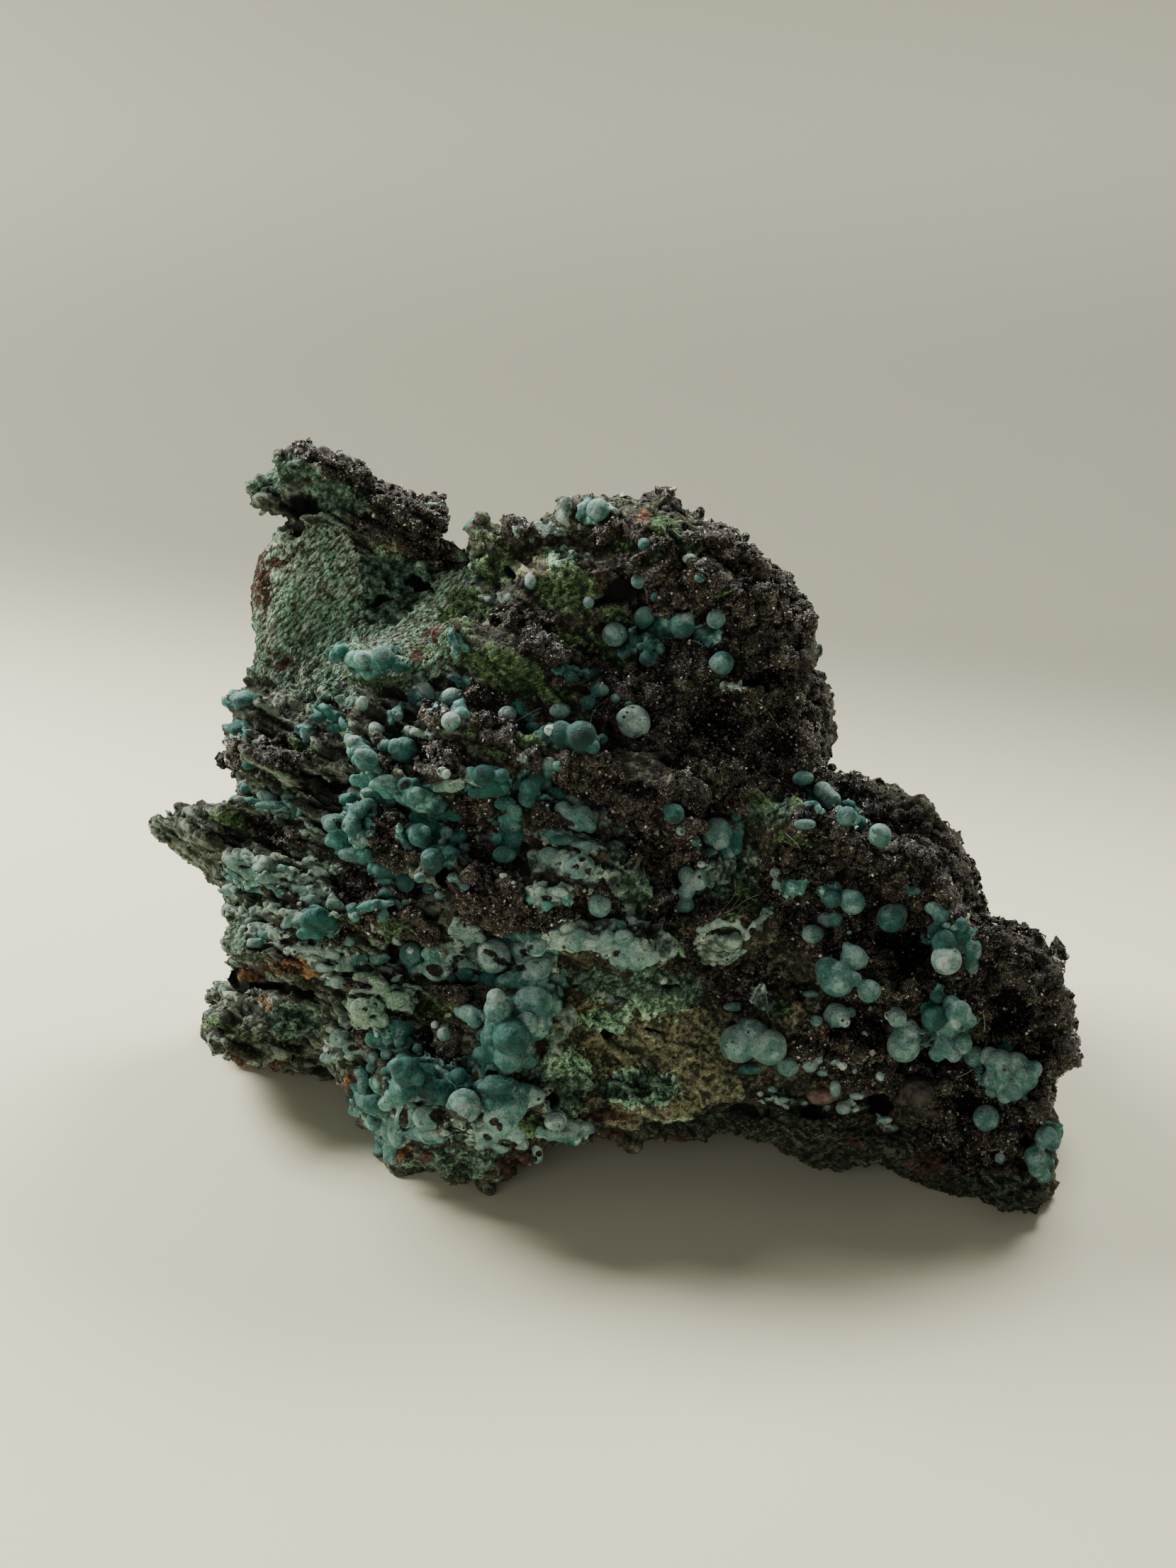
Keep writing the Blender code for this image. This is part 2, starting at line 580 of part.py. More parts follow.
def ball_depth(tree, place, radius):
    """Depth of a ball's middle: on the nearest rock in front of it, partly sunk."""
    ring = [(0.0, 0.0)] + [(math.cos(k * math.pi / 3.0), math.sin(k * math.pi / 3.0))
                           for k in range(6)]
    reach = RING_SHARE * radius / TENTH
    spots = [(place[0] + reach * x, place[1] + reach * y) for x, y in ring]
    return min(depth_on_face(tree, spot, math.inf) for spot in spots) - BALL_LIFT * radius


def place_balls(tree, balls):
    """Middle and radius of each ball of a growth, near enough to touch its neighbour."""
    radii = [tenths * TENTH for _, _, tenths in balls]
    depths = [ball_depth(tree, ball[:2], radius) for ball, radius in zip(balls, radii)]
    for _ in balls:
        for i in range(1, len(balls)):
            k = min(range(i), key=lambda n: math.dist(balls[n][:2], balls[i][:2]))
            flat = math.dist(balls[k][:2], balls[i][:2]) * TENTH
            slack = math.sqrt(max(0.0, (TOUCH * (radii[i] + radii[k])) ** 2 - flat ** 2))
            slack = min(slack, STEP_SHARE * radii[i])
            depths[i] = min(depths[i], depths[k] + slack)
            depths[k] = min(depths[k], depths[i] + slack)
    return [(face_place(ball[:2], depth), radius)
            for ball, depth, radius in zip(balls, depths, radii)]


def points_near(obj, ball, margin):
    """Indices of the rock's points within a margin of a ball."""
    tree = KDTree(len(obj.data.vertices))
    for vert in obj.data.vertices:
        tree.insert(vert.co, vert.index)
    tree.balance()
    middle, radius = ball
    return [index for _, index, _ in tree.find_range(middle, radius + margin)]


def make_sockets(obj, growths):
    """Push the rock's points back to the far side of each ball that reaches them."""
    for ball in [ball for placed in growths.values() for ball in placed]:
        middle, radius = ball
        reach = radius + SOCKET_ROOM
        for index in points_near(obj, ball, SOCKET_ROOM):
            vert = obj.data.vertices[index]
            off = vert.co - middle
            along = off.dot(AWAY)
            aside = (off - along * AWAY).length
            vert.co += AWAY * (math.sqrt(max(0.0, reach ** 2 - aside ** 2)) - along)


def is_clear(tree, middle, radius):
    """Whether a ball is in the reader's sight and keeps its gap to the rock."""
    sight = middle - READER
    if tree.ray_cast(READER, sight.normalized(), sight.length)[0] is not None:
        return False
    return tree.find_nearest(middle)[3] >= radius + SOCKET_GAP


def lift_clear(tree, balls):
    """Move a growth out of the rock, the shortest of several ways, until it is clear."""
    ways = [(across * RIGHT + up * UP - AWAY).normalized() for across, up in LIFT_WAYS]
    shift = 0.0
    while True:
        for way in ways:
            moved = [(middle + shift * way, radius) for middle, radius in balls]
            if all(is_clear(tree, *ball) for ball in moved):
                return moved
        shift += SHIFT_STEP


def make_growth(name, balls, collection):
    """One growth of rosasite: its balls, grown together in one solid."""
    growth = None
    for middle, radius in balls:
        mesh = bmesh.new()
        add_ellipsoid(mesh, middle, (radius,) * 3, detail=BALL_DETAIL)
        ball = to_object(mesh, name, collection)
        if growth is None:
            growth = ball
            continue
        combine(growth, ball, "UNION")
        bpy.data.objects.remove(ball, do_unlink=True)
    return growth


def tidy_solid(obj):
    """Weld near points, keep one body and triangulate."""
    mesh = bmesh.new()
    mesh.from_mesh(obj.data)
    bmesh.ops.dissolve_degenerate(mesh, dist=WELD, edges=mesh.edges[:])
    bmesh.ops.triangulate(mesh, faces=mesh.faces[:])
    keep_largest(mesh)
    mesh.to_mesh(obj.data)
    mesh.free()


def bottom_centre(objects):
    """Middle of the specimen's box at the ground, in millimetres."""
    places = [vert.co for obj in objects for vert in obj.data.vertices]
    low_x, high_x = min(p.x for p in places), max(p.x for p in places)
    low_y, high_y = min(p.y for p in places), max(p.y for p in places)
    return Vector(((low_x + high_x) / 2.0, (low_y + high_y) / 2.0, 0.0))


def finish(obj, origin, material):
    """Bring a solid to metres about the origin and give it its material."""
    obj.data.transform(Matrix.Scale(MM, 4) @ Matrix.Translation(-origin))
    obj.data.materials.clear()
    obj.data.materials.append(material)
    obj.data.shade_smooth()


def hide_cutters(cutters, origin):
    """Bring the cutters to metres too and show them as wires only."""
    for obj in cutters.objects:
        obj.data.transform(Matrix.Scale(MM, 4) @ Matrix.Translation(-origin))
        obj.hide_render = True
        obj.display_type = "WIRE"


def build():
    """Model the specimen."""
    clear_scene()
    specimen = new_collection(COLLECTION)
    cutters = new_collection(CUTTERS)
    rock = make_rock(specimen, cutters)
    shape_surface(rock)
    tree = surface_tree(rock)
    places = {name: place_balls(tree, balls) for name, balls in GROWTHS.items()}
    make_sockets(rock, places)
    thin_out(rock, places, ROCK_TRIANGLES)
    cut_flat(rock)
    tree = surface_tree(rock)
    growths = [make_growth(name, lift_clear(tree, balls), specimen)
               for name, balls in places.items()]
    for solid in [rock] + growths:
        tidy_solid(solid)
    origin = bottom_centre([rock] + growths)
    finish(rock, origin, new_material("plattnerite_rock"))
    rosasite = new_material("rosasite")
    for growth in growths:
        finish(growth, origin, rosasite)
    hide_cutters(cutters, origin)


build()
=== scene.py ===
"""A rock crusted with plattnerite and grown over with rosasite, dressed on its solid model."""
import math
import random

import bmesh
import bpy
import numpy as np
from mathutils import Matrix, Vector, noise
from mathutils.bvhtree import BVHTree
from mathutils.kdtree import KDTree


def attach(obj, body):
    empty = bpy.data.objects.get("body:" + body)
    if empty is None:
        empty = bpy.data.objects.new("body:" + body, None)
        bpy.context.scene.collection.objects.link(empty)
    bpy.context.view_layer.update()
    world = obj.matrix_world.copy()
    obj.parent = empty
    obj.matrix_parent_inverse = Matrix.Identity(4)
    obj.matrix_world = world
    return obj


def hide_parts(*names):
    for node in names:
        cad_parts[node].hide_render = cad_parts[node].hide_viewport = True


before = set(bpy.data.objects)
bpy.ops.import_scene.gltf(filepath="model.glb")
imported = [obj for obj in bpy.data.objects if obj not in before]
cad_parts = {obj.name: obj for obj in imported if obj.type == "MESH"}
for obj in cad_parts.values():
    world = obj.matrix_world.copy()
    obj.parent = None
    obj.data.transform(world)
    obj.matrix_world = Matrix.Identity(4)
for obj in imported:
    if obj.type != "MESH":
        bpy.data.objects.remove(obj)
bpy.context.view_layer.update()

DICE = random.Random(11)
MM = 0.001

# The layout sheet leans back through the middle of the face and is read from one eye point.
# Places on it are in tenths of a millimetre, across from the left and down from the top.
SHEET_STEP = 0.1
SHEET_HEIGHT = 2212
SHEET_MIDDLE = (829.5, 1106.0)
FACE_MIDDLE = Vector((-2.568, 3.432, 45.0))
EYE_DISTANCE = 320.0
LEAN = math.radians(24)
RIGHT = Vector((1, 0, 0))
UP = Vector((0, math.sin(LEAN), math.cos(LEAN)))
AWAY = Vector((0, math.cos(LEAN), -math.sin(LEAN)))
EYE = FACE_MIDDLE - AWAY * EYE_DISTANCE

# How finely each kind of piece is joined, in millimetres.
ROCK_VOXEL, BALL_VOXEL, SMALL_VOXEL = 0.75, 0.22, 0.26
FLOW_VOXEL, CRUST_VOXEL, KNOB_VOXEL = 0.25, 0.30, 0.24
# The least height above the floor: of the rock's moved points, of what stands on it, and of grains.
FLOOR_CLEAR, FOOT_HEIGHT, GRAIN_CLEAR = 0.02, 0.4, 0.05

# ---- the mineral layers on the face
# Each patch: across, down, half length, half height, then a turn in degrees if it isn't 0, and a
# strength if it is below 1.
LAYERS = {
    "plattnerite": [
        (1045, 860, 110, 130), (1060, 1010, 110, 90), (935, 985, 120, 80, -35),
        (960, 805, 110, 50, -30), (915, 925, 80, 60), (1150, 1110, 90, 45, -30),
        (1200, 1180, 110, 70, -40), (1290, 1250, 120, 80, -45), (1390, 1370, 110, 80, -50),
        (1450, 1480, 70, 90), (1180, 1310, 110, 60, -35), (1260, 1390, 110, 60, -35),
        (1230, 1480, 120, 55), (1060, 1390, 80, 40), (1390, 1600, 90, 56), (1120, 1240, 60, 50),
        (925, 1190, 75, 90), (960, 1290, 50, 70), (1030, 1110, 90, 40, -20),
        (840, 1092, 60, 24, -15), (700, 1034, 44, 24, -15), (735, 1062, 34, 20, -20),
        (618, 1068, 36, 24), (550, 1083, 18, 13), (668, 1150, 36, 40), (540, 1172, 44, 26, -15),
        (552, 1206, 40, 14, -10), (780, 1146, 22, 36, 35), (510, 1250, 46, 24, -15),
        (545, 1268, 40, 14), (692, 1262, 56, 40, -10), (764, 1290, 58, 18, -10),
        (560, 1305, 62, 20, -8), (835, 1250, 34, 16, -30), (820, 1110, 44, 14, -20),
        (480, 1315, 26, 16), (330, 1062, 18, 34), (380, 1172, 44, 16, -25),
        (400, 1062, 44, 22, -15), (485, 664, 40, 20, -30), (568, 716, 62, 24, -25),
        (604, 748, 42, 34), (535, 738, 34, 18), (606, 788, 38, 16, -10), (420, 640, 34, 12, -10),
        (744, 756, 40, 10, -5), (880, 752, 40, 22), (620, 1010, 24, 14, -20),
        (735, 868, 52, 16, -5), (770, 918, 46, 16, -25), (800, 960, 26, 12), (690, 985, 40, 10),
        (470, 985, 34, 16, -20), (620, 1360, 26, 16), (640, 1410, 20, 12), (820, 1380, 22, 10),
        (520, 1458, 26, 16), (620, 1480, 34, 34), (640, 1504, 50, 14), (632, 1590, 26, 30, -30),
        (700, 1200, 26, 12, -30), (1340, 1530, 80, 40), (520, 1400, 40, 6, -6), (575, 1380, 24, 8),
        (410, 1180, 30, 10, -30), (560, 1440, 20, 12),
    ],
    "teal": [
        (341, 992, 22, 10, -10), (337, 1030, 20, 15), (380, 1132, 40, 9, -30),
        (466, 1014, 40, 12, -30), (505, 1056, 30, 20, -50), (540, 1108, 46, 22, -25),
        (500, 1160, 44, 30, -45), (488, 1205, 26, 14, -30), (600, 1130, 40, 22, -20),
        (600, 1180, 46, 30), (690, 1100, 46, 20, -5), (718, 1175, 26, 40), (548, 1232, 30, 14, -10),
        (446, 1302, 44, 24, -10), (622, 1212, 26, 16), (530, 935, 44, 20, 15),
        (480, 920, 20, 10, 20), (595, 985, 32, 16, -35), (640, 990, 34, 22, -20),
        (730, 1010, 34, 16), (800, 1045, 56, 22, -5), (890, 905, 46, 26, 30), (930, 890, 34, 36),
        (1000, 895, 30, 26), (728, 1455, 62, 64), (690, 1500, 50, 20), (765, 1385, 44, 40),
        (590, 1520, 56, 36, -15), (640, 1530, 40, 22), (710, 1548, 62, 32), (545, 1590, 26, 40),
        (522, 1545, 24, 36, -30), (1035, 1190, 12, 30), (1172, 1255, 18, 16), (1340, 1320, 40, 30),
        (1322, 1402, 18, 12), (1335, 1450, 44, 44), (1420, 1515, 60, 32), (985, 1240, 20, 34),
        (640, 1185, 30, 18, -20), (795, 1155, 46, 18, -25), (752, 1105, 28, 30),
        (820, 955, 44, 12, -15), (650, 960, 22, 10, -30), (560, 1010, 20, 12),
        (645, 905, 8, 26, 35), (430, 1035, 20, 14), (840, 720, 30, 20), (1150, 1130, 30, 10, -40),
        (1200, 1150, 30, 16, -20), (1120, 1250, 20, 20), (580, 1350, 34, 22), (610, 1350, 30, 20),
        (745, 1335, 60, 30, -10), (460, 1380, 24, 10, -30), (560, 1460, 44, 30),
        (1280, 1470, 34, 30), (1465, 1640, 22, 34), (1480, 1600, 16, 20), (860, 1325, 34, 22),
        (1000, 1200, 30, 14), (795, 1598, 44, 12), (360, 1245, 60, 8, -20),
    ],
    "pale": [
        (395, 1238, 90, 16, -20), (440, 1258, 60, 14, -20), (350, 1218, 50, 10, -30),
        (345, 1285, 50, 10, -15), (375, 1318, 44, 16, -5), (455, 1225, 40, 10, -15),
        (460, 1350, 64, 18, -8), (470, 1372, 30, 10, -20), (340, 1400, 50, 5, -6),
        (628, 1107, 36, 10), (785, 1218, 44, 26), (820, 1235, 30, 22), (765, 1262, 44, 18, -20),
        (712, 1236, 34, 8, -10), (657, 1318, 36, 22, -30), (805, 1322, 54, 20, -5),
        (880, 1335, 50, 30), (515, 1428, 34, 24), (525, 1384, 34, 10), (565, 1408, 34, 18, -20),
        (668, 1592, 70, 24), (700, 1575, 50, 34), (800, 1586, 44, 16, -10), (558, 1590, 22, 36),
        (1015, 1335, 42, 24), (1075, 1300, 26, 10, 35), (1075, 1412, 20, 24),
        (440, 1165, 34, 8, -30), (600, 970, 34, 14, -30), (590, 1035, 34, 10), (600, 800, 16, 8),
        (770, 752, 40, 10, 5), (640, 795, 20, 7), (800, 718, 12, 18), (850, 715, 26, 18, -30),
        (760, 1120, 20, 8), (790, 1180, 60, 10, -10), (850, 1195, 40, 14, -15),
        (870, 1240, 30, 14, -30), (890, 1290, 30, 8, -30), (930, 1340, 16, 24),
        (790, 1455, 14, 40, -20), (860, 1405, 36, 8, -10), (1110, 1555, 44, 8, -10),
        (740, 1070, 20, 8, -20), (1190, 1560, 34, 10), (1250, 1585, 10, 20, 20),
        (1060, 1210, 24, 14), (700, 845, 30, 8, -5), (1032, 972, 22, 12, -20), (1010, 1230, 30, 20),
        (750, 1540, 26, 14), (1400, 1660, 24, 5, -40), (690, 1350, 44, 30),
        (640, 1345, 30, 20, -20), (490, 1475, 24, 26), (760, 1360, 40, 30),
        (845, 1150, 66, 22, -25), (790, 1222, 58, 24), (775, 1264, 46, 20), (835, 1310, 84, 16),
        (700, 1190, 44, 14, -20),
    ],
    "moss": [
        (804, 835, 44, 36, -30), (672, 850, 40, 20, -20), (712, 940, 70, 22, -18),
        (740, 965, 50, 16, -18), (872, 935, 36, 20), (936, 742, 40, 14, -20), (888, 771, 26, 14),
        (933, 786, 14, 12), (745, 1042, 22, 16, -30), (660, 1040, 18, 12, 30),
        (1118, 1185, 30, 12, -10), (1054, 1262, 20, 18), (1040, 1285, 22, 8, 25),
        (1093, 1420, 22, 20), (1071, 1128, 24, 12), (318, 1158, 44, 9, -22), (612, 1422, 26, 14),
        (590, 920, 20, 8, -20), (845, 905, 30, 12, -20), (1012, 965, 12, 8),
        (525, 960, 44, 12, -10), (490, 1300, 16, 6), (560, 1310, 30, 8, -20),
        (1160, 1190, 30, 8, 20), (800, 900, 30, 10, -20), (1130, 1130, 24, 8),
        (640, 870, 24, 16, -20), (790, 980, 20, 10, -20), (705, 1060, 16, 10), (1015, 840, 18, 8),
        (430, 1060, 24, 10), (330, 1455, 40, 8, -20), (750, 1590, 14, 16), (960, 770, 40, 8, -30),
        (480, 1480, 16, 14), (870, 870, 20, 8, -30), (700, 800, 40, 30, -30, .6),
        (690, 752, 30, 16, 0, .5),
    ],
    "rust": [
        (408, 1362, 34, 11, -5), (434, 1372, 14, 7), (352, 1378, 14, 8, -30),
        (378, 1421, 12, 8, -40), (498, 1522, 12, 10), (681, 1515, 13, 5), (565, 1628, 12, 12),
        (600, 1630, 16, 8, 0, .6), (368, 815, 16, 56, 12, .62), (354, 860, 8, 40, 0, .6),
        (405, 935, 16, 5, 40, .66), (395, 790, 18, 7, 30, .6), (345, 1500, 60, 8, -5, .66),
        (905, 732, 18, 8, 20), (972, 1608, 34, 8, -5, .68), (860, 1607, 22, 5, 0, .75),
        (1300, 1640, 30, 22, 0, .62), (1200, 1612, 24, 8, 0, .62), (610, 895, 18, 7, 40, .6),
        (585, 930, 12, 8, 0, .6), (500, 885, 12, 5, 45, .6), (640, 890, 10, 14, 0, .64),
        (850, 1575, 60, 12, 0, .55), (720, 1640, 30, 14, 30, .58), (855, 992, 9, 7, 30, .7),
        (850, 800, 20, 12, 0, .45),
    ],
    "panel": [
        (430, 850, 84, 100), (500, 925, 110, 40, 15), (620, 850, 50, 26, 45),
        (600, 925, 60, 34, 35), (400, 800, 50, 50), (440, 780, 60, 34, 20), (400, 935, 50, 30),
        (640, 815, 30, 16, 35),
    ],
    "jade": [
        (545, 825, 50, 52), (470, 702, 40, 20, -15), (415, 775, 22, 26), (370, 877, 18, 10),
        (420, 925, 24, 26), (362, 945, 18, 16), (400, 660, 34, 20, 20), (372, 690, 26, 12, -20),
        (440, 668, 30, 8, -30), (895, 1535, 60, 26, -5), (940, 1395, 60, 30),
        (790, 1510, 44, 40, -20), (790, 1555, 26, 30), (740, 1600, 14, 26), (850, 1440, 40, 16),
        (1000, 1590, 70, 14, -5), (1150, 1625, 40, 16, -12), (1430, 1675, 44, 16, -30),
        (850, 1395, 60, 20, -20), (930, 1400, 50, 30), (660, 800, 30, 24, 0, .8),
        (800, 785, 30, 16), (560, 815, 50, 40, -20), (455, 935, 60, 26, 0, .8), (870, 1215, 14, 40),
        (1180, 1640, 50, 10, -10), (450, 970, 60, 20, -15), (660, 1636, 90, 24, 0, .6),
        (892, 1262, 30, 48), (1036, 1236, 40, 34), (1082, 1140, 36, 24), (930, 1330, 40, 20),
        (420, 1440, 40, 20), (340, 1310, 10, 40),
    ],
    # Gaps: the skin is sunk there, and they are painted near black as painted shade.
    "gap": [
        (631, 1243, 13, 24), (880, 830, 26, 20), (1012, 1020, 40, 36), (1100, 1050, 30, 20),
        (1283, 1345, 26, 34, -30), (1425, 1425, 26, 28), (390, 1393, 60, 8, -14),
        (440, 1405, 30, 8, -25), (330, 1378, 12, 12), (425, 714, 24, 12, -10), (417, 752, 12, 8),
        (720, 808, 8, 6), (1150, 1568, 18, 10), (1360, 1560, 30, 16), (1445, 1615, 8, 14),
        (610, 1460, 12, 20), (765, 1480, 10, 22), (780, 1550, 10, 16), (900, 1110, 34, 12, -15),
        (560, 1345, 10, 16), (735, 1245, 10, 8), (1245, 1330, 16, 14), (460, 1105, 44, 4, -8),
        (440, 1120, 40, 3, -10), (450, 1135, 40, 3, -12), (610, 1290, 16, 8), (1035, 1450, 10, 8),
        (1240, 1475, 14, 10), (370, 1155, 30, 5, -25), (400, 1200, 30, 3, -25),
        (380, 1265, 40, 3, -25), (340, 1250, 30, 3, -25), (585, 1255, 20, 12, -10),
        (950, 1400, 14, 5), (860, 1460, 10, 6), (920, 1450, 12, 5), (1060, 1570, 30, 12),
        (1240, 1560, 20, 12), (1390, 1290, 20, 8, -30), (650, 1385, 20, 8), (700, 1520, 20, 5),
        (590, 828, 20, 6, -30), (540, 846, 18, 6), (1080, 960, 30, 14), (1180, 1345, 10, 10),
        (860, 850, 20, 10), (980, 1150, 30, 8, -20),
    ],
    "earth": [
        (920, 1455, 90, 44), (880, 1480, 60, 40), (980, 1500, 50, 50), (900, 1570, 90, 26),
        (820, 1500, 40, 26), (1010, 1540, 40, 30), (860, 1430, 50, 26), (780, 1440, 30, 30),
        (560, 770, 44, 12), (760, 800, 26, 30, 0, .8), (1110, 1420, 40, 24), (970, 1330, 20, 20),
    ],
    "fringe": [
        (1080, 1590, 80, 22, -5), (1200, 1620, 110, 34, -8), (1330, 1650, 90, 36, -15),
        (1420, 1690, 70, 30, -20), (1150, 1580, 60, 24), (1300, 1600, 80, 24), (1040, 1570, 60, 16),
        (1250, 1660, 80, 20, -10), (960, 1590, 60, 12),
    ],
}
LAYER_NAMES = list(LAYERS)
# Each point of the skin keeps its layers under these names, four numbers to a name.
LAYER_SETS = ("layers_one", "layers_two", "layers_three")
# Crags that stand out of the rock: across, down, half length, half height, turn, depth behind
# the sheet in millimetres, and half depth.
CRAGS = [
    (678, 748, 13, 24, 12, -10.5, 3.0), (700, 764, 26, 16, -12, -12.0, 3.0),
    (672, 732, 7, 10, 0, -10.5, 1.6), (730, 762, 26, 14, -10, -13.0, 2.4),
    (688, 790, 30, 22, 30, -11.0, 2.4), (556, 806, 44, 24, -22, 1.0, 5.0),
    (598, 806, 26, 20, -20, -.6, 3.6), (560, 846, 30, 18, 30, 0.0, 4.6),
    (354, 688, 13, 5, -22, -1.4, 1.4), (368, 680, 12, 6, 20, -1.6, 1.4),
    (388, 648, 12, 6, 20, -4.6, 1.4), (380, 706, 20, 14, 30, -1.6, 2.0),
    (392, 640, 8, 6, 0, -5.0, 1.4), (372, 716, 12, 8, -20, -1.0, 1.6),
    (328, 1070, 9, 14, 0, -3.0, 2.0),
]
# Narrow gaps in the outline that the crust doesn't fill: patches with a turn, and how deep to cut.
NOTCHES = [
    (640, 770, 20, 36, 0, 2.0), (325, 1010, 26, 14, 0, 0), (290, 1120, 40, 22, 0, .4),
    (300, 1270, 20, 60, 0, 0), (1175, 1090, 16, 20, 0, .6), (850, 698, 18, 16, 0, .3),
    (1140, 950, 14, 8, 0, .6), (385, 735, 26, 10, 0, .8), (1508, 1328, 36, 26, -35, 2.2),
]


# ---- places on the sheet
def sight(across, down):
    """The direction from the eye to a place on the sheet."""
    side = (across - SHEET_MIDDLE[0]) * SHEET_STEP
    rise = (SHEET_MIDDLE[1] - down) * SHEET_STEP
    return (RIGHT * side + UP * rise + AWAY * EYE_DISTANCE).normalized()


def on_sheet(points):
    """Where points, in millimetres, fall on the sheet: across and down."""
    rel = points - np.array(EYE)
    deep = rel @ np.array(AWAY)
    across = SHEET_MIDDLE[0] + rel @ np.array(RIGHT) / deep * EYE_DISTANCE / SHEET_STEP
    down = SHEET_MIDDLE[1] - rel @ np.array(UP) / deep * EYE_DISTANCE / SHEET_STEP
    return across, down


def sheet_length(tenths, place):
    """The length in millimetres that a sheet length has at the depth of a place."""
    return tenths * SHEET_STEP * (place - EYE).dot(AWAY) / EYE_DISTANCE


def turned_ways(turn, right=RIGHT, up=UP):
    """The ways along and across a turn on the sheet."""
    a = math.radians(turn)
    return right * math.cos(a) + up * math.sin(a), up * math.cos(a) - right * math.sin(a)


def facing(points, norms, low, high):
    """How far each point of a skin faces the eye: 0 below one slant and 1 above the other."""
    return smooth_step((norms * unit(np.array(EYE) - points)).sum(axis=1), low, high)


# ---- small mesh tools
def smooth_step(value, low, high):
    t = np.clip((value - low) / (high - low), 0, 1)
    return t * t * (3 - 2 * t)


def spread(points, size, seed):
    """A soft random field over the points, from -1 to 1, with lumps of about that size."""
    shift = seed * 7.31
    return np.fromiter(
        (noise.noise((x / size + shift, y / size - shift, z / size + shift)) for x, y, z in points),
        float, len(points))


def strokes(points, turn, length, width, seed):
    """A field of long strokes that lie along a turn on the sheet."""
    along, across = turned_ways(turn, np.array(RIGHT), np.array(UP))
    moved = np.stack([points @ along / length, points @ across / width,
                      points @ np.array(AWAY) / (width * 2)], axis=1)
    return spread(moved, 1.0, seed)


def numbers_of(rows, what, width, kind=float):
    """One property of every row of a mesh's list, as an array."""
    flat = np.empty(len(rows) * width, dtype=kind)
    rows.foreach_get(what, flat)
    return flat.reshape(-1, width)


def coordinates(mesh):
    return numbers_of(mesh.vertices, "co", 3)


def normals(mesh):
    return numbers_of(mesh.vertices, "normal", 3)


def unit(ways):
    return ways / np.linalg.norm(ways, axis=1)[:, None]


def lay_of(along, away, up):
    """The matrix that lays a shape's own axes along three ways."""
    return Matrix((along, away, up)).transposed().to_4x4()


def tree_of(mesh, unit_length=1.0):
    return BVHTree.FromPolygons([v.co / unit_length for v in mesh.vertices],
                                [tuple(p.vertices) for p in mesh.polygons])


def near_tree(places):
    """A tree that finds which of some places are nearest to a point."""
    tree = KDTree(len(places))
    for k, place in enumerate(places):
        tree.insert(place, k)
    tree.balance()
    return tree


def mesh_of(bm, name):
    mesh = bpy.data.meshes.new(name)
    bm.to_mesh(mesh)
    bm.free()
    return mesh


def of_kind(geometry, kind):
    """The edges or the points among what an operator gives back."""
    return [item for item in geometry if isinstance(item, kind)]


def put_ball(bm, lay, level):
    """A ball of radius 1, laid by a matrix."""
    bmesh.ops.create_icosphere(bm, subdivisions=level, radius=1.0, matrix=lay)


def new_object(name, data):
    obj = bpy.data.objects.new(name, data)
    bpy.context.scene.collection.objects.link(obj)
    return obj


def applied(obj):
    """The object's mesh with its modifiers applied, and the object taken away."""
    seen = obj.evaluated_get(bpy.context.evaluated_depsgraph_get())
    mesh = bpy.data.meshes.new_from_object(seen)
    bpy.data.objects.remove(obj, do_unlink=True)
    return mesh


def voxel_joined(mesh, size, smooth_times, factor):
    """A mesh of overlapping closed shapes joined in one closed skin."""
    obj = new_object("joining", mesh)
    join = obj.modifiers.new("join", "REMESH")
    join.mode, join.voxel_size, join.use_smooth_shade = "VOXEL", size, True
    if smooth_times:
        soft = obj.modifiers.new("soft", "SMOOTH")
        soft.iterations, soft.factor = smooth_times, factor
    return applied(obj)


def finish_piece(name, mesh, material, slot, *node_names):
    """Bring a mesh to metres and hand it over as a piece of the object."""
    mesh.transform(Matrix.Scale(MM, 4))
    mesh.materials.clear()
    mesh.materials.append(material)
    obj = new_object(name, mesh)
    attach(obj, "root")
    if node_names:
        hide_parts(*node_names)


# ---- the rock's skin
def rock_mesh():
    """The rock's solid, merged and given an even skin that is finer where the face is read."""
    bm = bmesh.new()
    bm.from_mesh(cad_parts["matrix"].data)
    bmesh.ops.remove_doubles(bm, verts=bm.verts, dist=1e-6)
    bmesh.ops.scale(bm, vec=(1 / MM,) * 3, verts=bm.verts)
    add_crags(bm)
    mesh = voxel_joined(mesh_of(bm, "rock"), ROCK_VOXEL, 1, 0.5)
    bm = bmesh.new()
    bm.from_mesh(mesh)
    refine_face(bm)
    bmesh.ops.triangulate(bm, faces=[f for f in bm.faces if len(f.verts) > 4])
    bm.normal_update()
    bm.to_mesh(mesh)
    bm.free()
    mesh.shade_smooth()
    return mesh


def add_crags(bm):
    """Set each crag in the rock, turned as it lies on the sheet."""
    for across, down, long, high, turn, deep, half_deep in CRAGS:
        way = sight(across, down)
        centre = EYE + way * ((EYE_DISTANCE + deep) / way.dot(AWAY))
        along, up = turned_ways(turn)
        lay = lay_of(along, AWAY, up)
        size = Matrix.Diagonal((
            sheet_length(long, centre), half_deep, sheet_length(high, centre), 1))
        put_ball(bm, Matrix.Translation(centre) @ lay @ size, 2)


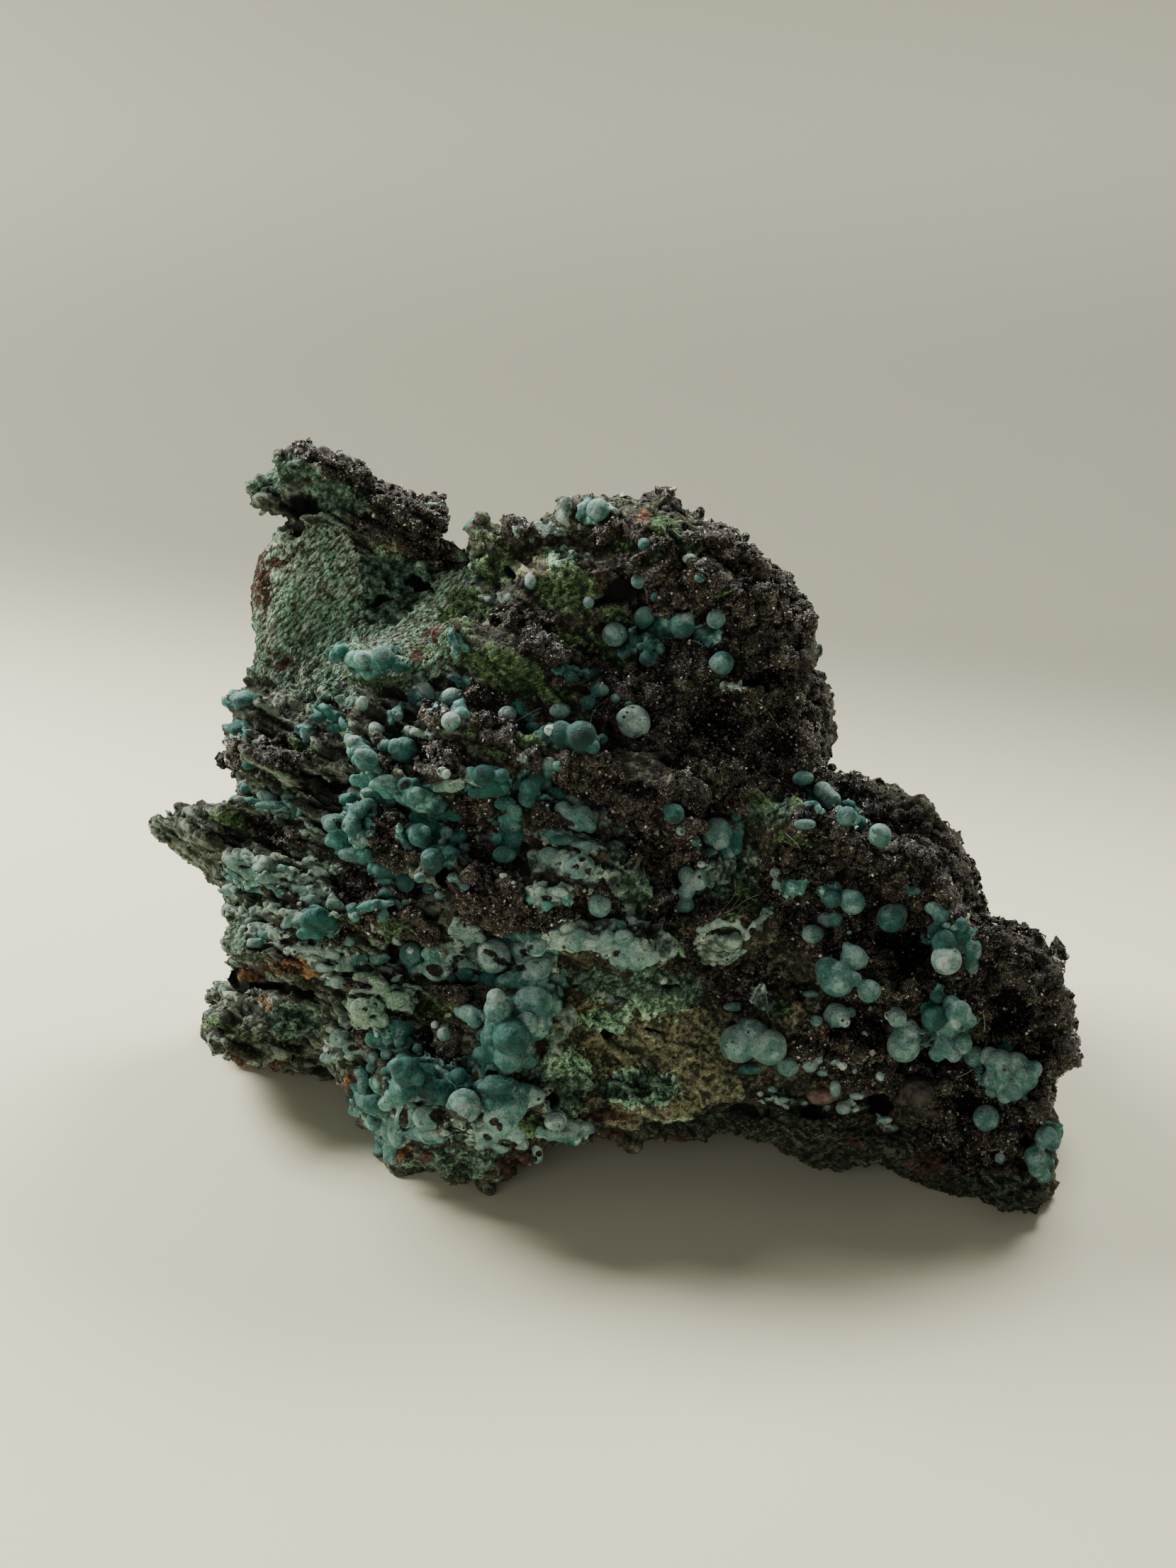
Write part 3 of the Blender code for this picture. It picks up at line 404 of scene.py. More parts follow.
def refine_face(bm):
    """Split the faces that the eye can see into four."""
    tree = BVHTree.FromBMesh(bm)
    turned_away, step_off = -0.2, 1.4
    seen = set()
    for face in bm.faces:
        middle = face.calc_center_median()
        way = (EYE - middle).normalized()
        if face.normal.dot(way) < turned_away:
            continue
        if tree.ray_cast(middle + way * step_off, way)[0] is None:
            seen.add(face)
    seen_edges = {e for f in seen for e in f.edges}
    split = [e for e in bm.edges if e in seen_edges]
    bmesh.ops.subdivide_edges(bm, edges=split, cuts=1, use_grid_fill=True, smooth=0.0)


def patch_weight(across, down, patch, soft=0.35):
    """How much of a point lies in a patch: 1 inside and 0 outside, with a soft rim."""
    x, y, long, high, *rest = patch
    turn, most = (*rest, *(0, 1.0)[len(rest):])
    a = math.radians(turn)
    dx, dy = across - x, -(down - y)
    u = (dx * math.cos(a) + dy * math.sin(a)) / long
    v = (-dx * math.sin(a) + dy * math.cos(a)) / high
    return most * (1 - smooth_step(np.sqrt(u * u + v * v), 1 - soft, 1 + soft))


def layer_weights(points, norms):
    """The weight of each mineral layer at each point of the skin."""
    across, down = on_sheet(points)
    bend, fray = 12.0, 5
    across = across + bend * spread(points, 3.2, 1) + fray * spread(points, 1.1, 3)
    down = down + bend * spread(points, 3.2, 2) + fray * spread(points, 1.1, 4)
    front = facing(points, norms, -0.45, -0.05)
    front *= smooth_step(-points @ np.array(AWAY), -48, -30)
    wild = wild_weights(points, norms)
    weights = {}
    for name, patches in LAYERS.items():
        painted = np.zeros(len(points))
        shrink = 0.78 if name in ("teal", "pale") else 1.0
        for x, y, long, high, *rest in patches:
            patch = (x, y, long * shrink, high * shrink, *rest)
            painted = np.maximum(painted, patch_weight(across, down, patch))
        weights[name] = painted * front + wild[name] * (1 - front)
    for over, share in (("teal", 0.7), ("pale", 0.8), ("moss", 0.8), ("rust", 0.8), ("jade", 0.75)):
        weights["plattnerite"] = weights["plattnerite"] * (1 - share * weights[over])
    return weights


def wild_weights(points, norms):
    """The layers on the sides, back and underside, laid at random but in the same districts."""
    broad, middling, small = (spread(points, s, k) for s, k in ((19.0, 21), (8.0, 22), (4.0, 23)))
    mix = 0.5 * broad + 0.35 * middling + 0.2 * small
    rightness = smooth_step(points[:, 0], -20, 25)
    under = smooth_step(-norms[:, 2], 0.25, 0.7)
    return {
        "plattnerite": smooth_step(mix + 0.85 * rightness - 0.15, -0.1, 0.2) * (1 - 0.8 * under),
        "teal": smooth_step(spread(points, 6.0, 24) + 0.3 * middling, 0.30, 0.42) * (1 - under),
        "pale": smooth_step(spread(points, 5.0, 25) + 0.3 * broad, 0.30, 0.42),
        "moss": smooth_step(spread(points, 6.5, 26) + 0.2 * broad, 0.34, 0.46) * (1 - under),
        "rust": smooth_step(spread(points, 6.0, 27) + 0.25 * under, 0.34, 0.44) * 0.7,
        "panel": smooth_step(-rightness + 0.8 * broad, -0.35, 0.0) * 0.42,
        "jade": smooth_step(-mix + 0.2 * under, 0.0, 0.25) * (1 - rightness),
        "gap": smooth_step(spread(points, 3.0, 28) + 0.3 * small, 0.45, 0.6) * 0.7,
        "earth": smooth_step(middling - 0.3 * rightness, 0.0, 0.3),
        "fringe": smooth_step(0.3 * small + under, 0.5, 0.8),
    }


def knob_seeds(points, weight, spacing, least):
    """One random place in each cell of the crusted ground, with its knob's radius."""
    cells = {}
    order = list(np.nonzero(weight > least)[0])
    DICE.shuffle(order)
    for i in order:
        key = tuple((points[i] // spacing).astype(int))
        cells.setdefault(key, i)
    return [(int(i), spacing * DICE.uniform(0.48, 0.95)) for i in cells.values()]


def knob_height(points, weight, seeds):
    """How far each point is lifted by the round knobs around it."""
    tree = near_tree([points[i] for i, _ in seeds])
    lift = np.zeros(len(points))
    for i in np.nonzero(weight > 0.02)[0]:
        best = 0.0
        for _, k, away in tree.find_n(points[i], 4):
            reach = seeds[k][1]
            if away < reach:
                best = max(best, math.sqrt(reach * reach - away * away))
        lift[i] = best
    return lift


def knob_lift(points, plat, right):
    """The crust's round knobs on broader lumps, larger to the right."""
    lumps = knob_height(points, plat, knob_seeds(points, plat, 3.4, 0.35))
    knobs = knob_height(points, plat, knob_seeds(points, plat, 1.8, 0.3))
    knobbly = (0.35 + 0.25 * right) * lumps + 0.9 * knobs - 1.9 - 0.3 * right
    return smooth_step(plat, 0.2, 0.55) * knobbly


def leaf_lift(points):
    """Slaty leaves that lie along the ledges, with a broken edge."""
    slate = strokes(points, -30, 8.0, 1.5, 33) + 0.5 * strokes(points, -26, 4.0, 0.7, 34)
    leaf = smooth_step(slate, -0.12, 0.16) - 0.5
    return 1.2 * leaf + 0.35 * slate


def swell_lift(points, crust):
    """The low domes of the teal and pale crusts."""
    broad = knob_height(points, crust, knob_seeds(points, crust, 2.7, 0.4))
    swell = knob_height(points, crust, knob_seeds(points, crust, 1.6, 0.4))
    return crust * (0.5 * broad + 0.55 * swell - 0.75)


def shape_lift(points, weights):
    """How far the skin is raised or sunk, layer by layer, in millimetres."""
    plat, jade, panel = (weights[name] for name in ("plattnerite", "jade", "panel"))
    across, down = on_sheet(points)
    slaty = (1 - smooth_step(across, 540, 760)) * (1 - 0.85 * jade)
    centre = smooth_step(across, 540, 660) * (1 - smooth_step(across, 930, 1060))
    calm = 1 - smooth_step(panel, 0.2, 0.7)
    crust = smooth_step(np.maximum(weights["teal"], weights["pale"]), 0.35, 0.6)
    bare = calm * (1 - 0.85 * crust)
    lift = 0.40 * spread(points, 5.0, 30) + 0.30 * spread(points, 2.4, 31)
    lift += bare * (0.22 * spread(points, 1.1, 32) + 0.30 * spread(points, 0.62, 39))
    lift += knob_lift(points, plat, smooth_step(across, 900, 1100))
    lift += centre * smooth_step(plat + 0.12 * spread(points, 0.9, 40), 0.42, 0.6) * 1.5
    lift += slaty * calm * leaf_lift(points) * (1 - 0.5 * crust)
    furrow = smooth_step(strokes(points, -35, 5.0, 1.9, 35), -0.1, 0.12) - 0.5
    lift += centre * bare * 0.8 * furrow
    lift += swell_lift(points, crust)
    lift += weights["moss"] * 0.35 * spread(points, 0.8, 36)
    lift += jade * (0.75 * spread(points, 1.5, 43) + 0.5 * spread(points, 0.8, 44))
    threads = strokes(points, 20, 2.4, 0.5, 41) + strokes(points, -40, 2.4, 0.5, 42)
    lift += np.maximum(weights["fringe"], 0.3 * weights["earth"]) * 0.5 * threads
    grain = strokes(points, 48, 1.5, 0.45, 37)
    lift += panel * (0.24 * grain + 0.18 * spread(points, 0.6, 38))
    for *patch, depth in NOTCHES:
        cut = patch_weight(across, down, patch)
        lift = lift * (1 - cut) - depth * cut
    lift -= weights["gap"] * 2.2
    return lift, slaty


def hollows(mesh, points, norms):
    """How far each point lies below those around it: above a half in hollows, below on edges."""
    ends = numbers_of(mesh.edges, "vertices", 2, np.int64)
    count = np.bincount(ends.ravel(), minlength=len(points)).astype(float)[:, None]
    soft, depth = points.copy(), np.zeros(len(points))
    finely, broadly = (2, 5.0), (12, 1.1)
    for times, share in (finely, broadly):
        for _ in range(times):
            total = np.stack([
                np.bincount(ends[:, 0], soft[ends[:, 1], k], len(points))
                + np.bincount(ends[:, 1], soft[ends[:, 0], k], len(points))
                for k in range(3)], axis=1)
            soft = 0.5 * soft + 0.5 * total / count
        depth += share * ((soft - points) * norms).sum(axis=1)
    return np.clip(0.5 + depth, 0, 1)


def ball_gaps(points, balls):
    """How far each point lies outside the nearest of the larger balls, in millimetres."""
    tree = near_tree([ball[0] for ball in balls])
    return np.array([min(away - balls[k][1] for _, k, away in tree.find_n(point, 3))
                     for point in points])


def dress_rock(balls):
    """Shape the skin and store its layers on its points."""
    mesh = rock_mesh()
    points, norms = coordinates(mesh), normals(mesh)
    weights = layer_weights(points, norms)
    lift, slaty = shape_lift(points, weights)
    collar = 1.4
    lift = np.where(lift > 0, lift * np.clip(ball_gaps(points, balls) / collar, 0, 1), lift)
    moved = points + norms * lift[:, None]
    moved[:, 2] = np.maximum(moved[:, 2], FLOOR_CLEAR)
    foot = points[:, 2] < FOOT_HEIGHT
    moved[foot, 2] = points[foot, 2]
    mesh.vertices.foreach_set("co", moved.ravel())
    mesh.update()
    # This hollow measure drives the painted shade in hollows and the painted light on edges in the
    # rock's material.
    hollow = hollows(mesh, moved, normals(mesh))
    kept = [weights[name] for name in LAYER_NAMES] + [hollow, slaty]
    for k, title in enumerate(LAYER_SETS):
        store_colour(mesh, title, kept[4 * k:4 * k + 4])
    return mesh


def store_colour(mesh, title, parts):
    """Keep four numbers on each point under one name."""
    attribute = mesh.attributes.new(title, "FLOAT_COLOR", "POINT")
    attribute.data.foreach_set("color", np.stack(parts, axis=1).ravel())


def cut_piece(mesh, place, normal):
    """The part of a closed mesh on one side of a plane, closed again."""
    bm = bmesh.new()
    bm.from_mesh(mesh)
    cut = bmesh.ops.bisect_plane(bm, geom=bm.verts[:] + bm.edges[:] + bm.faces[:],
                                 plane_co=place, plane_no=normal, clear_outer=True)
    rim = of_kind(cut["geom_cut"], bmesh.types.BMEdge)
    filled = bmesh.ops.holes_fill(bm, edges=rim, sides=0)
    bmesh.ops.triangulate(bm, faces=filled["faces"])
    for edge in rim:
        if edge.is_valid:
            edge.smooth = False
    return mesh_of(bm, "cut")


def make_rock(material, balls):
    """The rock's skin in three closed pieces: two of the face and one of the back."""
    whole = dress_rock(balls)
    tree = tree_of(whole)
    cut_lean, cut_depth = math.radians(42), 9
    lean = Vector((0, math.cos(cut_lean), -math.sin(cut_lean)))
    split = FACE_MIDDLE + lean * cut_depth
    face = cut_piece(whole, split, lean)
    back = cut_piece(whole, split, -lean)
    middle = Vector((4, 0, 0))
    pieces = {
        "rock_face_left": cut_piece(face, middle, RIGHT),
        "rock_face_right": cut_piece(face, middle, -RIGHT),
        "rock_back": back,
    }
    for name, mesh in pieces.items():
        finish_piece(name, mesh, material, "plattnerite_rock", "matrix")
    return whole, tree


# ---- rosasite growths
# Each growth stands on the solid of its own name. Each ball: across, down, radius, tone.
# A tone of 0 is deep teal and of 1 nearly white.
GROWTHS = {
    "ball_high_left": [(867, 895, 18, .62), (885, 876, 9, .25), (890, 892, 7, .3)],
    "ball_high_middle": [(909, 870, 15, .46), (925, 858, 7, .3)],
    "ball_white_cap": [(962, 882, 19, .34), (968, 876, 12, .66)],
    "ball_high_right": [(1010, 873, 14, .58), (994, 886, 9, .3)],
    "ball_shoulder": [(1019, 935, 17, .34), (1021, 915, 10, .25)],
    "ball_pale_centre": [(894, 1018, 24, .78), (884, 1012, 14, .84), (905, 1022, 13, .8)],
    "lobe_dark_teal": [
        (820, 1038, 22, 0.0), (792, 1034, 18, .1), (836, 1053, 11, .25), (775, 1030, 8, .95),
    ],
    "ball_left": [(570, 1058, 19, .22), (558, 1052, 11, .45)],
    "ball_bright_left": [(517, 1072, 17, .42), (508, 1064, 9, .5)],
    "lobe_centre_left": [(747, 1112, 15, .3), (744, 1126, 14, .28), (756, 1101, 12, .32)],
    "lobe_ridge": [(818, 1154, 20, .56), (794, 1142, 13, .62), (832, 1166, 10, .5)],
    "lobe_left_low": [
        (592, 1178, 17, .25), (578, 1158, 15, .3), (566, 1184, 10, .35), (600, 1172, 8, .5),
    ],
    "ball_half_moon": [(846, 1278, 17, .6)],
    "ball_dark": [(951, 1148, 15, .15)],
    "lobe_tooth": [(1012, 1173, 21, .5), (1002, 1156, 9, .42), (1018, 1186, 12, .48)],
    "grapes": [
        (985, 1243, 14, .54), (969, 1235, 13, .58), (968, 1258, 12, .54), (968, 1276, 12, .42),
        (989, 1273, 10, .4), (970, 1218, 9, .46),
    ],
    "bean": [(1173, 1129, 14, .6), (1160, 1115, 13, .68), (1167, 1122, 13, .66)],
    "ball_rim": [(1241, 1178, 17, .46), (1238, 1172, 10, .6)],
    "balls_slope": [(1203, 1273, 18, .42), (1174, 1268, 14, .1), (1163, 1246, 12, .4)],
    "ball_half_sunk": [(1257, 1295, 21, .42)],
    "balls_grey": [(1335, 1354, 22, .62), (1333, 1330, 19, .1), (1330, 1360, 10, .75)],
    "cluster_great": [
        (1181, 1381, 26, .42), (1168, 1368, 19, .36), (1173, 1349, 13, .6), (1204, 1351, 19, .46),
        (1195, 1336, 8, .5), (1226, 1398, 17, .62), (1205, 1381, 11, .5), (1212, 1418, 9, .45),
        (1244, 1408, 11, .6), (1186, 1392, 12, .62),
    ],
    "ball_white": [(1180, 1432, 18, .66), (1191, 1441, 9, .9), (1200, 1428, 8, .5)],
    "lobe_half_ring": [
        (1275, 1475, 24, .52), (1284, 1456, 15, .68), (1266, 1436, 14, .6), (1254, 1433, 7, .95),
    ],
    "botryoid_right": [
        (1352, 1429, 19, .58), (1318, 1436, 19, .16), (1334, 1452, 15, .62), (1332, 1475, 15, .44),
        (1357, 1473, 15, .55), (1308, 1468, 13, .52), (1367, 1440, 11, .5), (1342, 1415, 12, .4),
        (1359, 1454, 12, .5), (1347, 1446, 9, .62), (1322, 1486, 12, .5), (1345, 1488, 11, .55),
    ],
    "scallops_right": [
        (1410, 1500, 21, .6), (1433, 1502, 19, .6), (1396, 1489, 13, .72), (1402, 1523, 17, .5),
        (1448, 1522, 17, .58), (1430, 1537, 17, .5), (1458, 1508, 13, .55), (1415, 1516, 12, .6),
        (1440, 1513, 10, .45), (1418, 1545, 12, .6),
    ],
    "crescent": [(1391, 1577, 19, .5)],
    "lobes_end": [
        (1476, 1604, 16, .5), (1485, 1613, 11, .4), (1460, 1632, 16, .42), (1464, 1648, 14, .45),
    ],
    "double_lobe": [
        (1043, 1472, 28, .54), (1060, 1461, 24, .58), (1085, 1477, 26, .6), (1065, 1443, 9, .5),
        (1050, 1443, 8, .3),
    ],
    "ball_white_spot": [(581, 1346, 18, .28), (579, 1342, 6, .8)],
    "ball_cleft": [(697, 1349, 25, .72), (688, 1342, 14, .78)],
    "lobe_pale": [(757, 1369, 19, .6), (768, 1362, 12, .62), (746, 1376, 11, .65)],
    "mass_front": [
        (722, 1462, 28, .28), (702, 1424, 20, .42), (718, 1491, 22, .34), (660, 1458, 19, .62),
        (700, 1408, 14, .6), (675, 1486, 15, .2), (743, 1444, 17, .6), (661, 1432, 14, .72),
        (654, 1459, 11, .68),
    ],
    "lobe_deep_teal": [(573, 1512, 22, .24), (560, 1504, 12, .26), (588, 1520, 12, .22)],
    "lobe_grey": [(655, 1560, 25, .54), (648, 1552, 15, .58)],
    "lobe_foot": [(600, 1577, 18, .6), (614, 1568, 11, .55)],
}

# Smaller balls grown straight on the rock: across, down, half width, half height, tone.
SMALL_BALLS = [
    (844, 720, 17, 17, .55), (910, 768, 10, 10, .45), (902, 819, 12, 12, .45),
    (987, 815, 9, 8, .35), (973, 789, 12, 8, .8), (831, 849, 9, 9, .75), (749, 820, 9, 13, .6),
    (898, 905, 10, 10, .25), (915, 910, 11, 9, .22), (912, 929, 11, 11, .2), (931, 915, 7, 9, .25),
    (926, 843, 8, 8, .25), (846, 973, 14, 10, .45), (829, 991, 12, 11, .3), (869, 985, 8, 7, .5),
    (887, 993, 8, 6, .45), (849, 1043, 8, 9, .3), (752, 1026, 12, 8, .4), (790, 1003, 16, 12, .4),
    (805, 954, 12, 9, .2), (716, 1007, 14, 12, .6), (635, 1018, 15, 14, .66),
    (638, 984, 16, 14, .7), (514, 929, 16, 12, .7), (538, 927, 17, 16, .52), (562, 941, 14, 9, .32),
    (497, 925, 9, 9, .65), (542, 1051, 11, 11, .55), (546, 1104, 20, 12, .45),
    (524, 1118, 18, 8, .5), (574, 1108, 14, 13, .2), (587, 1122, 15, 14, .25),
    (628, 1092, 8, 8, .95), (681, 1094, 17, 16, .15), (708, 1094, 12, 11, .2),
    (679, 1120, 20, 8, .25), (773, 1078, 13, 11, .5), (780, 1090, 10, 9, .5), (789, 1081, 9, 8, .5),
    (773, 1110, 7, 9, .35), (711, 1133, 14, 10, .45), (727, 1145, 11, 11, .4),
    (721, 1163, 17, 11, .35), (700, 1177, 10, 8, .55), (724, 1186, 14, 12, .3),
    (711, 1205, 18, 13, .22), (628, 1147, 13, 12, .5), (631, 1175, 10, 10, .6),
    (624, 1191, 7, 7, .6), (610, 1211, 17, 16, .2), (511, 1209, 13, 10, .5),
    (546, 1228, 23, 11, .22), (572, 1244, 14, 15, .18), (548, 1260, 15, 9, .4),
    (536, 1275, 24, 6, .5), (594, 1238, 10, 8, .55), (606, 1254, 11, 8, .5), (620, 1262, 8, 7, .5),
    (573, 1272, 7, 6, .7), (775, 1209, 17, 15, .66), (812, 1225, 18, 16, .68),
    (341, 988, 17, 8, .4), (337, 1030, 14, 9, .25), (383, 1136, 24, 7, .5), (470, 1163, 15, 13, .5),
    (482, 1182, 9, 8, .45), (487, 1205, 10, 9, .5), (961, 1171, 8, 8, .6), (1039, 1150, 9, 8, .35),
    (1040, 1175, 10, 13, .5), (1032, 1200, 9, 12, .55), (1002, 1247, 7, 7, .7),
    (990, 1219, 7, 6, .85), (981, 1187, 8, 8, .5), (1094, 1231, 9, 8, .66), (1096, 1247, 8, 9, .6),
    (1019, 1256, 5, 5, .6), (951, 1258, 6, 6, .7), (1133, 1097, 16, 11, .42),
    (1195, 1152, 15, 15, .42), (1197, 1136, 11, 8, .35), (1212, 1162, 10, 12, .25),
    (1230, 1143, 10, 9, .4), (1135, 1163, 17, 8, .42), (1166, 1298, 14, 12, .62),
    (1147, 1318, 17, 14, .55), (1197, 1315, 5, 4, .8), (1178, 1296, 12, 11, .5),
    (1287, 1256, 13, 7, .3), (1318, 1281, 14, 10, .5), (1328, 1291, 13, 12, .4),
    (1345, 1308, 6, 5, .6), (1356, 1304, 10, 10, .35), (1320, 1313, 12, 11, .12),
    (1367, 1333, 10, 14, .45), (1372, 1362, 10, 14, .5), (1378, 1340, 8, 16, .5),
    (1306, 1322, 8, 8, .5), (1226, 1422, 5, 5, .8), (1219, 1460, 6, 7, .85),
    (1152, 1441, 10, 9, .6), (1320, 1404, 10, 9, .08), (1155, 1492, 8, 9, .75),
    (1175, 1497, 10, 7, .6), (1188, 1503, 7, 7, .85), (1205, 1510, 5, 6, .8),
    (1242, 1518, 7, 8, .85), (1163, 1513, 12, 6, .5), (1375, 1491, 17, 16, .5),
    (1417, 1478, 14, 11, .2), (1412, 1634, 9, 9, .65), (1060, 1508, 20, 8, .35),
    (1112, 1504, 16, 15, .58), (1142, 1503, 11, 11, .66), (1145, 1403, 13, 6, .55),
    (1073, 1543, 6, 5, .8), (1090, 1537, 8, 6, .75), (1105, 1552, 9, 5, .7),
    (1035, 1420, 16, 7, .45), (1178, 1535, 9, 13, .6), (1190, 1563, 12, 9, .6),
    (1208, 1546, 12, 6, .65), (1248, 1580, 12, 6, .6), (1258, 1592, 10, 6, .6),
    (935, 1382, 8, 7, .9), (499, 1280, 9, 8, .4), (500, 1294, 8, 8, .35), (541, 1292, 9, 10, .4),
    (561, 1326, 9, 9, .8), (492, 1327, 10, 9, .6), (458, 1362, 16, 9, .7), (476, 1383, 12, 8, .6),
    (596, 1365, 11, 11, .5), (601, 1340, 11, 9, .5), (612, 1356, 12, 11, .45),
    (638, 1378, 9, 9, .55), (656, 1373, 13, 12, .3), (711, 1326, 12, 9, .35),
    (736, 1338, 14, 12, .5), (757, 1334, 17, 13, .62), (732, 1369, 11, 10, .66),
    (780, 1380, 9, 9, .7), (817, 1320, 12, 12, .55), (857, 1324, 13, 12, .6),
    (880, 1323, 15, 13, .6), (875, 1306, 9, 8, .5), (891, 1298, 9, 10, .9),
    (878, 1352, 20, 15, .55), (900, 1358, 14, 12, .66), (920, 1350, 12, 10, .75),
    (713, 1421, 17, 16, .45), (627, 1459, 11, 11, .5), (614, 1447, 7, 7, .8),
    (670, 1442, 11, 10, .45), (694, 1456, 11, 12, .45), (766, 1420, 12, 11, .62),
    (762, 1440, 12, 11, .6), (734, 1497, 13, 11, .4), (716, 1507, 10, 10, .6),
    (691, 1503, 6, 5, .5), (647, 1519, 14, 13, .2), (578, 1538, 14, 12, .3),
    (527, 1556, 20, 14, .42), (512, 1530, 9, 14, .5), (700, 1534, 30, 12, .28),
    (735, 1536, 20, 9, .4), (755, 1548, 15, 12, .8), (732, 1554, 14, 10, .6),
    (571, 1577, 16, 14, .62), (548, 1590, 12, 20, .45), (782, 1583, 16, 12, .7),
    (806, 1590, 14, 10, .75), (826, 1589, 12, 8, .8), (795, 1598, 22, 9, .6),
    (549, 1467, 10, 9, .5), (527, 1490, 8, 8, .5), (546, 1486, 10, 9, .45), (568, 1452, 13, 12, .3),
    (525, 1505, 9, 8, .45), (565, 1470, 10, 10, .4), (590, 1480, 8, 8, .5),
    (610, 1600, 16, 10, .66), (450, 1012, 16, 7, .25), (474, 1026, 16, 8, .25),
    (500, 1046, 13, 9, .5), (600, 1196, 8, 8, .5), (655, 1196, 10, 8, .4), (505, 1145, 16, 12, .35),
    (497, 1165, 14, 16, .4), (520, 1135, 14, 9, .4), (545, 1132, 16, 9, .4),
    (640, 1240, 10, 9, .55), (655, 1250, 9, 8, .5), (790, 1185, 20, 7, .35), (815, 1190, 18, 7, .4),
]

# Thin crusts: tone, mint share, half width of the band, bead radius, beads per 10, then places.
CRUSTS = [
    (.86, .5, 9, 6, 1.6, [(306, 1262), (340, 1250), (385, 1232), (430, 1226), (470, 1232)]),
    (.8, .5, 8, 6, 1.5, [(335, 1290), (380, 1278), (420, 1284)]),
    (.84, .35, 7, 6, 1.7, [(402, 1340), (440, 1336), (470, 1338), (498, 1346), (530, 1356)]),
    (.62, .1, 9, 7, 1.6, [(400, 1300), (436, 1292), (470, 1298)]),
    (.8, .55, 6, 6, 1.7, [(602, 1112), (628, 1106), (655, 1104)]),
    (.82, .4, 14, 6, 1.5, [(762, 1200), (790, 1214), (826, 1226), (850, 1236)]),
    (.86, .3, 8, 5, 1.4, [(702, 1226), (728, 1240), (752, 1262), (789, 1268)]),
    (.72, .35, 14, 7, 1.6, [(640, 1300), (662, 1318), (690, 1322)]),
    (.88, .25, 12, 7, 1.6, [(772, 1316), (800, 1330), (836, 1330), (868, 1340), (905, 1352)]),
    (.8, .25, 7, 6, 1.8, [(990, 1340), (984, 1322), (1002, 1306), (1030, 1303), (1050, 1312),
                          (1052, 1332), (1034, 1350), (1008, 1356), (990, 1346)]),
    (.7, .2, 6, 5, 1.7, [(1046, 1312), (1062, 1304), (1076, 1294), (1086, 1282), (1096, 1288)]),
    (.72, .8, 14, 7, 1.6, [(500, 1436), (520, 1424), (540, 1436)]),
    (.7, .85, 7, 6, 1.7, [(512, 1384), (530, 1378), (548, 1386)]),
    (.72, .8, 9, 7, 1.7, [(545, 1398), (560, 1412), (578, 1408)]),
    (.76, .7, 6, 5, 1.5, [(500, 1402), (522, 1404), (538, 1410)]),
    (.8, .3, 12, 7, 1.5, [(592, 1585), (625, 1600), (660, 1592), (690, 1600), (712, 1606)]),
    (.78, .1, 10, 7, 1.6, [(690, 1560), (712, 1576), (724, 1596)]),
    (.6, .1, 10, 7, 1.6, [(545, 1560), (540, 1590), (548, 1616)]),
    (.55, .3, 7, 5, 1.5, [(1062, 1392), (1074, 1410), (1080, 1428)]),
    (.75, .3, 5, 5, 1.4, [(1058, 1556), (1090, 1548), (1120, 1566)]),
    (.66, .2, 5, 5, 1.5, [(1182, 1560), (1200, 1556), (1218, 1540)]),
    (.9, .2, 5, 4, 1.4, [(592, 968), (606, 978), (616, 992)]),
    (.45, .1, 8, 6, 1.6, [(365, 1146), (385, 1132), (408, 1142), (432, 1150)]),
    (.5, .1, 12, 7, 1.5, [(500, 1042), (520, 1066), (530, 1096), (560, 1116), (590, 1124)]),
    (.45, .1, 13, 7, 1.5, [(486, 1150), (500, 1180), (512, 1196)]),
    (.35, .1, 10, 6, 1.5, [(700, 1112), (730, 1112), (760, 1118)]),
    (.3, .1, 9, 6, 1.5, [(700, 1150), (712, 1190), (730, 1196)]),
    (.3, .1, 10, 6, 1.5, [(890, 902), (905, 916), (915, 936), (928, 920)]),
    (.5, .1, 12, 7, 1.5, [(690, 1440), (720, 1450), (750, 1470), (730, 1500), (700, 1510)]),
    (.55, .1, 12, 7, 1.5, [(712, 1350), (740, 1350), (772, 1362), (790, 1400), (770, 1440)]),
    (.2, .1, 12, 7, 1.5, [(556, 1500), (590, 1520), (620, 1540)]),
    (.5, .1, 9, 7, 1.5, [(512, 1520), (520, 1548), (536, 1566)]),
    (.4, .1, 9, 6, 1.5, [(1300, 1470), (1330, 1490), (1360, 1492), (1375, 1480)]),
    (.5, .1, 8, 6, 1.5, [(1390, 1530), (1410, 1548), (1440, 1552), (1462, 1530)]),
    (.2, .1, 10, 6, 1.5, [(1318, 1330), (1330, 1345), (1350, 1340), (1360, 1325)]),
    (.5, .1, 6, 5, 1.5, [(1030, 1160), (1036, 1185), (1032, 1215)]),
    (.72, .6, 5, 4, 1.4, [(770, 740), (800, 748), (830, 742)]),
    (.6, .5, 6, 5, 1.4, [(722, 752), (745, 760), (765, 756)]),
    (.85, .3, 5, 5, 1.5, [(1020, 1010), (1036, 1016)]),
]

